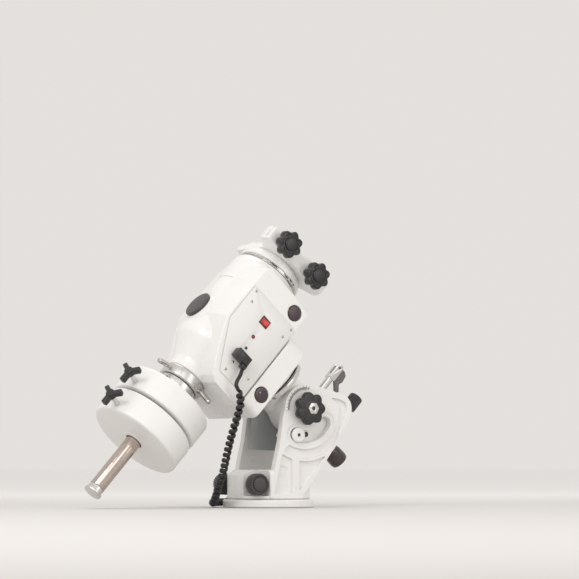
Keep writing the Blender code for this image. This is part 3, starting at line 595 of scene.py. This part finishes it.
x, z = PLUG_SEAT
plug = make("hand_control_plug", "head", HEAD, [
    block((x - 14, x + 14), (PANEL_Y - 17, PANEL_Y - 2.5), (z - 7.2, z + 7.2)),
    block((x - 10.5, x - 9.5), (PANEL_Y - 17.3, PANEL_Y - 5), (z - 6.2, z + 6.2)),
    block((x - 8.2, x - 7.2), (PANEL_Y - 17.3, PANEL_Y - 5), (z - 6.2, z + 6.2)),
    block((x + 6, x + 15.3), (PANEL_Y - 15, PANEL_Y - 6), (z - 14, z - 5)),
    *[block((x + 5.8, x + 15.5), (PANEL_Y - 15.3, PANEL_Y - 5.8), (z - low - 1.4, z - low))
      for low in (8.2, 10.6)],
    block((x - 4.5, x + 4.5), (PANEL_Y - 4, PANEL_Y + 3.8), (z - 3.5, z + 3.5)),
], BLACK, ["handset_plug"], bevel=0.7)
end_frame = Matrix.Translation(Vector((74.3, 76, 4.2)) * MM) @ Matrix.Rotation(math.radians(-16), 4, "Z")
end_plug = make("far_end_plug", "head", end_frame, [
    block((0, 14), (-5.5, 5.5), (-3.5, 3.3)), block((2, 9), (-1.5, 1.5), (3, 3.5)),
    *[block((9.5, 13.9), (k - 0.35, k + 0.35), (-3.5, 3.45)) for k in (-3.5, -1.2, 1.2, 3.5)],
], CLEAR, ["lead_end_plug"], bevel=0.3)
cable, cable_path, cable_length = lead()


# --- base and fork ----------------------------------------------------------------------

make("base_flange", "base", WORLD,
     [lathe([(0, 0), (71.4, 0), (72, 1.5), (72, 10.5), (69.5, 12.4), (0, 12.6)], 1.2, 128),
      block((PEG_X - 4, PEG_X + 4), (-4, 4), (8, 46))], PAINT, ["base_plate"])

ARM = [(25, 15), (48, 42.5), (78, 82), (107, 121), (114, 135.5), (119, 147), (120, 157), (118, 166), (112, 174),
       (104, 178), (90, 181.5), (68, 187), (51, 191), *arc(CENTRE, 38, 80, 180, 30), (-9, 146), (-14.7, 105),
       (-24.7, 63), (-34.8, 15)]


def fork():
    outline = [(0, BASE_HEIGHT + 0.5), (FORK_RADIUS, BASE_HEIGHT + 0.5), (FORK_RADIUS, FORK_TOP - 6),
               (FORK_RADIUS - 4, FORK_TOP), (0, FORK_TOP)]
    adds = [lathe(outline, 2.0, 128)]
    cuts = [disc(30.5, 0, 26), disc(8, 20, 61)]
    fields = (
        [*arc(CENTRE, 83, -121, -107, 8), (8.5, 20), (-25.5, 20)],
        [*arc(CENTRE, 83, -98, -61, 16), (20.5, 25)],
        [(80, 173), (97, 170), (107, 166), (111, 159), (109, 148), (97, 123),
         *arc(CENTRE, 78.5, -44, -121, 30), *arc(CENTRE, 64, -118, 5, 40)],
    )
    deeper = [(-13, 66), (1.5, 62), (1.5, 22), (-23, 22)]
    for out in (-1, 1):
        low, high = sorted((out * ARM_INNER, out * ARM_OUTER))
        adds.append(side_plate(rounded(ARM, 3.0), low, high))
        face = out * ARM_OUTER
        for field in fields:
            cuts.append(side_plate(rounded(field, 4.0), *sorted((face - out * 4.2, face + out))))
        cuts.append(side_plate(rounded(deeper, 3.0), *sorted((face - out * 5.6, face + out))))
        lip = curved_slot(CENTRE, SLOT_RADIUS, SLOT_HALF + 7, *SLOT_ENDS)
        cuts.append(side_plate(lip, *sorted((face - out * 1.2, face + out))))
        cuts.append(block((-33, 80), sorted((face, face + out * 20)), (BASE_HEIGHT, FORK_TOP + 5)))
        pocket = (-70, -24) if out < 0 else (24, 70)
        cuts.append(block((PEG_X - 21, PEG_X + 18.5), pocket, (18, FORK_TOP + 4)))
    cuts.append(block((PEG_X - 9, PEG_X + 9), (-13, 13), (0, 48)))
    cuts.append(along_y(disc(4.5, -40, 40), (PEG_X, 0, KNOB_Z)))
    cuts.append(along_y(disc(8.5, -70, 70), TILT_AXIS))
    slot = curved_slot(CENTRE, SLOT_RADIUS, SLOT_HALF, *SLOT_ENDS)
    cuts.append(side_plate(slot, -ARM_OUTER - 2, -ARM_INNER + 2))
    cuts.append(side_plate([(-72, 48), (-72, 70), (-40, 70), (-44, FORK_TOP + 0.2)], -80, 80))
    make("azimuth_fork", "mount_fork", WORLD, adds, PAINT, ["fork"], cuts, voxel=0.8, smooth=1)


fork()

for name, side in (("west", -1), ("east", 1)):
    place = Matrix.Translation(Vector((PEG_X, 0, KNOB_Z)) * MM) @ facing((0, side, 0))
    head = knurled(17, 18.0, 28, 1.3, face=((0.84, 0.0), (0.82, -1.6), (0.78, -1.9), (0.72, -1.9), (0.68, -0.3),
                                           (0.60, 0.2), (0.3, 0.5), (0.02, 0.55)))
    make(f"azimuth_knob_{name}_grip", f"azimuth_knob_{name[0]}", place,
         [shifted(head, z=39.5), disc(4.0, 5.4, 50)], DARK, [f"azimuth_knob_{name}"], bevel=0.0)

scale = arc(CENTRE, 38.5, 80, 186, 60) + arc(CENTRE, 29.5, 186, 80, 50)
make("latitude_plate", "mount_fork", WORLD,
     [side_plate(scale, -ARM_OUTER - 1.2, -ARM_OUTER - 0.3)],
     PANEL_PAINT, ["latitude_scale"], bevel=0.15)


def mark(centre, radius, length, width, degrees, y):
    """A thin bar pointing at a centre in the (x, z) plane, its face just proud of y."""
    a, b = on_circle(centre, radius, degrees), on_circle(centre, radius + length, degrees)
    across = Vector((-(b[1] - a[1]), b[0] - a[0])).normalized() * width / 2
    outline = [(a[0] + across.x, a[1] + across.y), (b[0] + across.x, b[1] + across.y),
               (b[0] - across.x, b[1] - across.y), (a[0] - across.x, a[1] - across.y)]
    return side_plate(outline, y - 0.06, y + 0.3)


make("latitude_marks", "mount_fork", WORLD,
     [mark(CENTRE, 30.3, 6.2 if i % 5 == 0 else 3.8, 0.7, 88 + i * 2.0, -ARM_OUTER - 1.2)
      for i in range(46)], INK)


def screw(radius, height):
    """A small domed screw head standing on z = 0."""
    return lathe([(0, 0), (radius, 0), (radius, height * 0.6), (radius * 0.6, height), (0, height * 1.05)], 0.25, 24)


def cross(radius, top):
    """Two thin dark bars that stand for a cross slot: painted shade in place of the recess."""
    return [block((-radius, radius), (-0.22, 0.22), (top - 0.2, top + 0.08)),
            block((-0.22, 0.22), (-radius, radius), (top - 0.2, top + 0.08))]


def screws(name, body, place, points, radius=2.2, height=0.9, direction=(0, -1, 0), finish=STEEL):
    heads, slots = [], []
    for point in points:
        turn = facing(direction, point)
        heads.append(placed(screw(radius, height), turn))
        slots += [placed(shape, turn) for shape in cross(radius * 0.55, height)]
    make(name, body, place, heads, finish)
    # The slot bars are painted shade standing in for the recessed cross slots.
    make(name + "_slots", body, place, slots, INK)


plate_ends = [on_circle(CENTRE, 33, degrees) for degrees in (181, 82)]
screws("latitude_screws", "mount_fork", WORLD, [(a, -ARM_OUTER - 1.2, b) for a, b in plate_ends], 2.0, 0.7)


# --- polar housing ----------------------------------------------------------------------


bolt = on_circle(CENTRE, SLOT_RADIUS, SLOT_BOLT_ANGLE)
spare = on_circle(CENTRE, *SPARE_HOLE)


def ra_housing():
    back = HEAD.inverted()
    back.translation = back.translation / MM
    sector = [CENTRE, *arc(CENTRE, 57, -132, -12, 30)]
    front = [*arc((41, 26), 34, 0, 90, 12), *arc((-41, 26), 34, 90, 180, 12),
             *arc((-65, -80), 10, 180, 270, 6), *arc((65, -80), 10, 270, 360, 6)]
    adds = [
        bar(front, 69, 105),
        along_x(lathe([(0, 99), (40, 99), (40, 225), (0, 225)], 3.0)),
        along_x(lathe([(0, 220), (16, 220), (16, 273), (0, 273)], 1.2)),
        along_x(lathe([(0, 101), (52, 101), (52, 127), (0, 127)], 6.0)),
        placed(along_y(disc(36, -47.5, 47.5, 1.5), TILT_AXIS), back),
        *[placed(side_plate(sector, low, high), back) for low, high in ((-47.2, -30), (30, 47.2))],
        placed(along_y(disc(8.2, -59, -40), TILT_AXIS), back),
        block((182, 212), (-13, 13), (34, 52)),
        placed(lathe([(0, 8), (8.5, 8), (8.5, 68), (0, 68)], 1.0), Matrix.Translation((REAR_KNOB_X, 0, 0))),
    ]
    cuts = [
        along_x(disc(54.5, 67, 94)), along_x(disc(40.3, 93, 106)), along_x(disc(30, 100, 196)),
        along_x(disc(34.3, 195, 218)), along_x(disc(13.3, 190, 275)),
        along_y(disc(14.6, -71, 65), (RA_WORM[0], 0, RA_WORM[1])),
        along_y(disc(12.8, 64, 80), (RA_PLUG[0], 0, RA_PLUG[1])),
        placed(along_y(disc(8.3, 31, 60), TILT_AXIS), back),
        placed(disc(6.4, 38, 56), Matrix.Translation((ALTITUDE_BOLT_X, 0, 0))),
        placed(disc(4.4, 46, 70), Matrix.Translation((REAR_KNOB_X, 0, 0))),
    ]
    cuts.append(placed(along_y(disc(4.4, 36, 50), (bolt[0], 0, bolt[1])), back))
    cuts.append(placed(along_y(disc(3.8, 40, 50), (spare[0], 0, spare[1])), back))
    make("polar_casting", "polar_housing", HEAD, adds, PAINT, ["ra_housing"], cuts, voxel=1.1, smooth=5)


ra_housing()
# A black disc set in the spare hole: painted shade of the hole's depth.
make("spare_hole_shade", "polar_housing", WORLD, [along_y(disc(3.9, 41, 47.1), (spare[0], 0, spare[1]))], BLACK)

pivot = Matrix.Translation(Vector(TILT_AXIS) * MM) @ facing((0, -1, 0))
make("altitude_grip", "altitude_knob", pivot,
     [shifted(star(26.5, 13, 7, 0.18, ((0.85, 0.2), (0.02, 0.35))), z=66), disc(13, 61.8, 68, 0.8)],
     BLACK, ["altitude_star_knob"], [disc(6.3, 50, 90)])
hexagon, socket = hexagonal(9.8), hexagonal(3.4)
make("altitude_hex", "altitude_knob", pivot, [prism(hexagon, 79.3, 84.5)], SILVER, ["altitude_nut"],
     [prism(socket, 81.5, 90)], bevel=0.7)
make("altitude_washer", "altitude_knob", pivot, [disc(12.0, 78.6, 79.7, 0.3)], DARK)
# A dark disc at the socket's floor: painted shade in the hex recess.
make("altitude_socket_shade", "altitude_knob", pivot, [disc(3.0, 81.3, 81.7)], INK)

bolt_frame = Matrix.Translation(Vector((bolt[0], 0, bolt[1])) * MM) @ facing((0, -1, 0))
make("slot_bolt_head", "polar_housing", bolt_frame,
     [disc(9.6, 47.8, 61), lathe([(0, 60.5), (11.4, 60.5), (11.4, 63.6), (10.2, 64.8), (0, 65.0)], 0.6),
      disc(4.1, 38, 50)],
     PAINT, ["slot_bolt"], [prism(socket, 61.5, 68)])
# A dark disc at the socket's floor: painted shade in the hex recess.
make("slot_bolt_socket_shade", "polar_housing", bolt_frame, [disc(3.0, 61.3, 61.8)], INK)
# A grey plate set between the fork arms; its grey is painted shade of the inner wall seen there.
quadrant = [(-35, 91), (-35, 140), (-20.4, 156.6), *arc(CENTRE, 37.6, 198, 249, 16), (12, 89)]
make("quadrant", "polar_housing", WORLD, [side_plate(rounded(quadrant, 1.5), -6, 6)], SHADED_WALL_GREY,
     ["altitude_quadrant"], bevel=0.8)

clevis_frame = at(HEAD, (ALTITUDE_BOLT_X, 0, 0))
tongue = rounded([(-6, 84), (-6, 110), (-3, 114), (3, 114), (6, 110), (6, 84)], 2.0)
make("altitude_clevis", "altitude_bolt", clevis_frame,
     [disc(6.0, 40.5, 88, 0.8), side_plate(tongue, -7, 7)], SILVER,
     ["altitude_bolt"], [block((-12, 12), (-3.4, 3.4), (92, 125)), along_y(disc(2.2, -10, 10), (0, 0, 108))],
     bevel=0.6)
handle = rounded([(-4, -4), (6.4, -5), (6.4, -19), (11, -23), (20, -32), (27, -29), (18, -19), (21, -12), (19, 0),
                  (13, 4), (-3, 4)], 2.2)
make("handle_grip", "folding_handle", at(clevis_frame, (0, 0, 108)),
     [side_plate(handle, -3.0, 3.0), along_y(disc(2.0, -8, 8, 0.4))], HANDLE, ["folding_handle"], bevel=0.8)
make("rear_grip", "rear_knob", at(HEAD, (REAR_KNOB_X, 0, 0)),
     [shifted(knurled(11.4, 23.2, 24, 0.7, face=((0.8, 0.3), (0.02, 0.5))), z=75), disc(4.0, 50, 80)], BLACK,
     ["rear_knob"])
eye = [(5, 274), (13, 274), (13.6, 279), (14.6, 281), (15.2, 296), (14.2, 301), (11, 302.4), (5, 302.4)]
make("eyepiece_cup", "eyepiece", HEAD, [along_x(lathe(eye, 0.9))], PLUM, ["polar_scope_eyepiece"])

make("ra_circle", "polar_housing", HEAD @ facing((1, 0, 0)),
     [lathe([(52.3, 106), (63, 106), (63, 112), (52.3, 112)], 0.5, 128)], SILVER, ["ra_setting_circle"])
make("ra_circle_marks", "polar_housing", HEAD @ facing((1, 0, 0)),
     [placed(block((62.9, 63.06), (-0.25, 0.25), (106.8, 109.5 if i % 6 else 111)),
             Matrix.Rotation(2 * math.pi * i / 144, 4, "Z")) for i in range(144)], INK)
crescent = [(r * math.cos(math.radians(a)), r * math.sin(math.radians(a))) for a, r in CLUTCH_EDGE]
make("clutch_ring", "ra_clutch", at(HEAD, (116, 0, 0)),
     [along_x(lathe([(52.4, -2.5), (57.5, -2.5), (57.5, 5), (52.4, 5)], 0.6)),
      bar(rounded(arc((0, 0), 54.5, 220, 126, 16) + crescent, 2.0), -2.4, 4.9)],
     SILVER, ["ra_clutch_lever"], bevel=0.9)
make("worm_cover_lower", "polar_housing", at(HEAD, (RA_PLUG[0], 0, RA_PLUG[1])) @ facing((0, -1, 0)),
     [lathe([(0, 66.5), (12.3, 66.5), (12.3, 74.4), (11.3, 75.6), (9, 75.9), (0, 76.2)], 0.6)], PLUM,
     ["ra_housing_plug"])
make("worm_cover_dot", "polar_housing", at(HEAD, (RA_PLUG[0], 0, RA_PLUG[1])) @ facing((0, -1, 0)),
     [shifted(disc(0.8, 76.0, 76.5, 0.1), x=-5)], SILVER)


# --- head -------------------------------------------------------------------------------


def flank(height, left, x, y):
    """One ring of the casing's box: flat faces in y, and a flank on the left running in to the round body."""
    near, far = PANEL_Y, -PANEL_Y - 3
    outline = [(left, near), (CASING_RIGHT, near), (CASING_RIGHT, far), (left, far), (x, y), (x, -y)]
    return [(a, b, height) for a, b in outline]


def head_casing():
    outline = [(0, -100), (34.5, -100), (34.5, -91), (36, -83), (41, -73), (49, -59), (56, -47), (58, -38),
               (58, 108), (55, 118), (0, 118)]
    adds = [
        lathe(outline, 3.0, 128),
        loft([flank(*ring) for ring in FLANKS]),
        along_x(lathe([(0, -58.5), (25, -58.5), (25, -40), (0, -40)], 1.5)),
    ]
    cuts = [
        revolve([(0, -72), (33, -72), (42, -57), (50, -42), (50, 96), (0, 100)]),
        side_plate([(-30, 52), (60, 52), (60, -74), (10, -74), (-30, -6)], -66, 64),
        side_plate(rounded(PANEL, 2.5), PANEL_Y - 2, PANEL_Y + 2.6),
        side_plate([(-30, 54), (59, 54), (59, -74), (10, -74), (-30, -10)], PANEL_Y - 1, -60),
        disc(32.2, 90, 120), disc(26.9, -102, -60),
        along_x(disc(30, 50, 70)), along_x(disc(19, -62, -40)),
        along_y(disc(14.6, -66, 65), (DEC_WORM[0], 0, DEC_WORM[1])),
        along_y(disc(12.7, 64, 80), (DEC_WORM[0], 0, DEC_WORM[1])),
        side_plate([(-70, 112), (-20, 101.5), (34, 100.2), (60.6, 95.8), (75, 88.8), (80, 130),
                    (-70, 130)], -80, -58.5),
        block((8, 59), (-30, 30), (70, 90)),
    ]
    make("head_casting", "head", HEAD, adds, PAINT, ["head_casing"], cuts, voxel=1.0, smooth=12)


head_casing()
make("head_seam", "head", HEAD, [revolve([(57.2, 65.8), (58.05, 65.8), (58.05, 66.3), (57.2, 66.3)])], INK)

inner = rounded([(-35.5, 60.0), (64.5, 60.0), (64.5, -80.5), (6.8, -81.0), (-35.5, -8.2)], 2.2)
x, z = SWITCH
px, pz = PLUG_SEAT
make("panel_cover", "head", HEAD, [side_plate(inner, PANEL_Y - 0.2, PANEL_Y + 2.3)], PANEL_PAINT, ["control_panel"],
     [block((x - 7.2, x + 7.2), (PANEL_Y - 5, PANEL_Y + 5), (z - 5.7, z + 5.7)),
      block((px - 7, px + 7), (PANEL_Y - 5, PANEL_Y + 5), (pz - 6, pz + 6)),
      along_y(disc(2.0, 70, 80), (15, 0, -1))], bevel=0.35)
screws("panel_screws", "head", HEAD,
       [(sx, PANEL_Y - 0.2, sz) for sx, sz in PANEL_SCREWS])
lip = rounded([(x - 8.6, z - 7.1), (x + 8.6, z - 7.1), (x + 8.6, z + 7.1), (x - 8.6, z + 7.1)], 0.8)
make("switch_bezel", "head", HEAD, [side_plate(lip, PANEL_Y - 1.0, PANEL_Y + 1.0)], BLACK, cuts=[
    block((x - 6.9, x + 6.9), (PANEL_Y - 5, PANEL_Y + 5), (z - 5.3, z + 5.3))], bevel=0.3)
rocker = [(-6.4, -4.6), (-6.4, 3), (6.4, 3), (6.4, -4.6), (4, -3.9), (0, -3.4), (-4, -3.9)]
make("switch_rocker", "power_switch",
     at(HEAD, (x, PANEL_Y + 2, z)) @ Matrix.Rotation(math.radians(-6), 4, "Z"), [prism(rocker, -4.8, 4.8)], RED,
     ["power_switch"], bevel=0.5)
make("lamp_lens", "head", HEAD, [along_y(lathe([(0, 71), (1.7, 71), (1.7, 75.7), (0, 76.3)], 0.3, 32),
                                        (15, 0, -1))], RED, ["power_lamp"])
make("lamp_collar", "head", HEAD, [along_y(disc(3.1, 75.0, 75.8, 0.2, 1.9), (15, 0, -1))], BLACK)
make("small_port", "head", HEAD,
     [block((px - 2.2, px + 2.2), (PANEL_Y - 0.7, PANEL_Y + 1), (-25.2, -20.8))], BLACK, bevel=0.3)
make("socket_shell", "head", HEAD,
     [block((px - 6.7, px + 6.7), (PANEL_Y - 0.6, PANEL_Y + 9), (pz - 5.7, pz + 5.7))],
     BLACK, ["handset_socket"],
     [block((px - 4.8, px + 4.8), (PANEL_Y - 2, PANEL_Y + 6), (pz - 3.8, pz + 3.8))], bevel=0.4)
make("worm_cover_upper", "head", at(HEAD, (DEC_WORM[0], 0, DEC_WORM[1])) @ facing((0, -1, 0)),
     [lathe([(0, 66.3), (12.2, 66.3), (12.2, 74.8), (11.0, 76.0), (9, 76.4), (0, 76.7)], 0.6)], PLUM, ["head_plug"])
make("polar_plug", "polar_cap", HEAD @ facing((-1, 0, 0)),
     [lathe([(0, 58.9), (23.3, 58.9), (23.3, 62.4), (21.9, 63.6), (0, 64.0)], 0.7), disc(18.6, 46, 60)], DARK,
     ["polar_cap"])


# --- declination side -------------------------------------------------------------------

make("dec_circle", "head", HEAD, [lathe([(33, 118.6), (53, 118.6), (53, 123.4), (33, 123.4)], 0.5, 128)], SILVER,
     ["dec_setting_circle"])
make("dec_circle_marks", "head", HEAD,
     [placed(block((52.9, 53.06), (-0.25, 0.25), (119.2, 121.2 if i % 5 else 122.8)),
             Matrix.Rotation(2 * math.pi * i / 180, 4, "Z")) for i in range(180)], INK)
make("dec_clamp", "head", HEAD, [placed(block((50, 57.5), (-9, 9), (118.9, 123.1)),
                                        Matrix.Rotation(math.radians(-72), 4, "Z"))], SILVER, bevel=0.8)
outward, across = Vector((0.309, -0.951, 0)), Vector((0.951, 0.309, 0))
screws("dec_clamp_screws", "head", HEAD,
       [tuple(outward * 57.4 + across * k + Vector((0, 0, 121))) for k in (-5, 5)],
       1.5, 0.6, tuple(outward), DARK)
make("flange", "dec_side", HEAD,
     [lathe([(15, 124), (53, 124), (54.6, 125.5), (54.6, 131), (52, 135.5), (49, 137.5), (48, 140), (15, 140)],
            1.0, 128)], PAINT, ["dec_flange"])


def saddle():
    half, short = 65.0, 46.0
    outline = [(-half, -62), (half, -62), (half, -42), (short, -22), (short, 58), (-short, 58), (-short, -22),
               (-half, -42)]
    adds = [prism(rounded(outline, 3.0), 140.3, 144), block((-short, short), (-28, 58), (143, 152)),
            bar([(38, 151), (36, 164), (58, 164), (58, 151)], -38, 44),
            block((-half, half), (-62, -53), (143, 168)), block((-short + 2, short - 2), (-20, 28), (151, 153))]
    cuts = [along_y(disc(4.4, 40, 80), (sx, 0, SADDLE_HOLE_HEIGHT)) for sx in SADDLE_HOLES]
    for sx in (-half, -2, half):
        cuts.append(along_y(disc(13, 50, 75), (sx, 0, 176)))
        cuts.append(along_y(disc(13, -75, -30), (sx, 0, 176)))
    make("saddle_body", "dec_side", HEAD, adds, PAINT, ["saddle"], cuts, bevel=1.2)
    section = rounded([(-44, 144.4), (-31, 144.4), (-31, 152), (-27.5, 168), (-44, 168)], 1.2)
    make("saddle_clamp", "jaw", HEAD, [bar(section, -half + 1, half - 1)], PAINT, ["saddle_jaw"],
         [along_y(disc(4.4, 36, 60), (sx, 0, SADDLE_HOLE_HEIGHT)) for sx in SADDLE_HOLES], bevel=0.5)
    face = ((0.80, 0.2), (0.78, -0.7), (0.72, -0.9), (0.69, 0.1), (0.60, 0.2), (0.58, -1.0), (0.02, -1.0))
    for name, sx in (("lower", SADDLE_HOLES[1]), ("upper", SADDLE_HOLES[0])):
        place = at(HEAD, (sx, 0, SADDLE_HOLE_HEIGHT)) @ facing((0, -1, 0))
        make(f"saddle_grip_{name}", f"saddle_knob_{name}", place,
             [shifted(star(22, 14.8, 7, 0.20, face), z=71), disc(4.0, 38, 75),
              lathe([(0, 84), (11.5, 84), (11, 87), (9, 88.4), (0, 89)], 0.9), disc(11, 68, 72, 0.6)],
             BLACK, [f"saddle_knob_{name}"])


saddle()


# --- counterweight side -----------------------------------------------------------------


def pin_frame(degrees):
    """Where a lock pin starts on the shaft's axis, and the way it points."""
    lean, turn = math.radians(PIN_LEAN), math.radians(degrees)
    direction = (math.cos(turn) * math.cos(lean), math.sin(turn) * math.cos(lean), -math.sin(lean))
    return facing(direction, (0, 0, PIN_HEIGHT))


make("shaft_rod", "dec_side", HEAD, [lathe([(0, -331), (12.5, -331), (12.5, -46), (0, -46)], 0.6)], CHROME,
     ["counterweight_shaft"])
make("shaft_cap", "end_cap", HEAD,
     [lathe([(0, -343.5), (13.6, -343.5), (14.6, -342.5), (14.6, -339), (12.5, -338.6), (12.5, -331.3), (0, -331.3)],
            0.6)], SILVER, ["shaft_end_cap"])
make("lock_ring_body", "lock_ring", HEAD,
     [lathe([(12.8, -118.6), (35.5, -118.6), (37, -117), (37, -103), (36, -101.6), (12.8, -101.6)], 0.8, 128)],
     SILVER, ["shaft_lock_ring"])
make("collar_body", "dec_side", HEAD,
     [lathe([(12.8, -135), (31.5, -135), (33, -133.5), (33, -120), (32, -119), (12.8, -119)], 0.8, 128)],
     SILVER, ["shaft_collar"])
for turn in (-158, -62):
    around = Vector((math.cos(math.radians(turn)), math.sin(math.radians(turn)), 0))
    screws(f"collar_screw_{-turn}", "dec_side", HEAD, [tuple(around * 32.8 + Vector((0, 0, -127)))], 2.0, 0.5,
           tuple(around), DARK)
for name, turn in LOCK_PINS:
    pin = lathe([(0, 33), (2.9, 33), (2.9, 42.6), (4.2, 43.4), (4.2, 65), (3.7, 67.4), (2.2, 68.4),
                 (0, 68.6)], 0.5, 32)
    make(f"tommy_pin_{name}", "lock_ring", HEAD, [placed(pin, pin_frame(turn))], STEEL,
         [f"lock_pin_{name}"])
for name, height in WEIGHTS:
    profile = [(13.0, -22.6), (19, -22.6), (20, -21.6), (69, -21.6), (74.6, -20.4), (75.5, -17), (75.5, 17),
               (74.6, 20.4), (69, 21.6), (20, 21.6), (19, 22.6), (13.0, 22.6)]
    make(f"weight_disc_{name}", f"weight_{name}", at(HEAD, (0, 0, height)),
         [lathe(profile, 1.4, 160)], WEIGHT_PAINT, [f"weight_{name}"])
    # A dark sleeve lining the bore: painted shadow inside the weight's hole.
    make(f"weight_bore_shadow_{name}", f"weight_{name}", at(HEAD, (0, 0, height)),
         [lathe([(12.8, -22.9), (14.2, -22.9), (14.2, 22.9), (12.8, 22.9)], 0.2)], DARK)
    turn = math.radians(WEIGHT_KNOB_TURN)
    place = at(HEAD, (0, 0, height - WEIGHT_KNOB_DROP)) @ facing((-math.cos(turn), -math.sin(turn), 0))
    arms = [placed(block((0, 19), (-3.9, 3.9), (93.5, 103.5)), Matrix.Rotation(math.radians(120 * k + 30), 4, "Z"))
            for k in range(3)]
    make(f"weight_grip_{name}", f"weight_knob_{name}", place,
         [disc(7.0, 93, 104, 1.2), *arms], BLACK, [f"weight_knob_{name}"], bevel=1.6)
    make(f"weight_screw_{name}", f"weight_knob_{name}", place,
         [disc(4.0, 14.5, 92), disc(5.4, 90.5, 93.2, 0.4)], SILVER)


# --- floor, the CAD pieces that stay, and the end ---------------------------------------


def floor_finish():
    """Pale matt floor that fades to a lighter tone behind the mount."""
    made = surface("pale_floor", (0.68, 0.665, 0.645), 0.8, vary=0.008, grain=60.0, depth=0.0)
    tree = made.node_tree
    shader = tree.nodes["Principled BSDF"]
    near = shader.inputs["Base Color"].links[0].from_socket
    reach = tree.nodes.new("ShaderNodeVectorMath")
    reach.operation = "DOT_PRODUCT"
    reach.inputs[1].default_value = (0.54, 0.84, 0.0)
    tree.links.new(tree.nodes.new("ShaderNodeTexCoord").outputs["Object"], reach.inputs[0])
    fade = tree.nodes.new("ShaderNodeMapRange")
    fade.interpolation_type = "SMOOTHSTEP"
    fade.inputs["From Min"].default_value = 0.15
    fade.inputs["From Max"].default_value = 2.5
    tree.links.new(reach.outputs["Value"], fade.inputs["Value"])
    blend = tree.nodes.new("ShaderNodeMix")
    blend.data_type = "RGBA"
    tree.links.new(fade.outputs["Result"], blend.inputs["Factor"])
    tree.links.new(near, blend.inputs[6])
    blend.inputs[7].default_value = (0.97, 0.965, 0.96, 1.0)
    tree.links.new(blend.outputs[2], shader.inputs["Base Color"])
    return made


FLOOR_REACH = 6e4
corners = [(x * FLOOR_REACH, y * FLOOR_REACH, -0.5) for x, y in ((-1, -1), (1, -1), (1, 1), (-1, 1))]
floor = mesh_object("studio_floor", [(corners, [[0, 1, 2, 3]])], WORLD)
floor.data.materials.append(floor_finish())

KEPT = {"ra_worm_wheel": BRASS, "dec_worm_wheel": BRASS, "main_board": GREEN, "ra_motor": DARK,
        "dec_motor": DARK, "polar_scope_tube": DARK}
for name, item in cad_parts.items():
    if item.hide_render:
        continue
    finish = KEPT.get(name, STEEL)
    item.data.materials.clear()
    item.data.materials.append(finish)
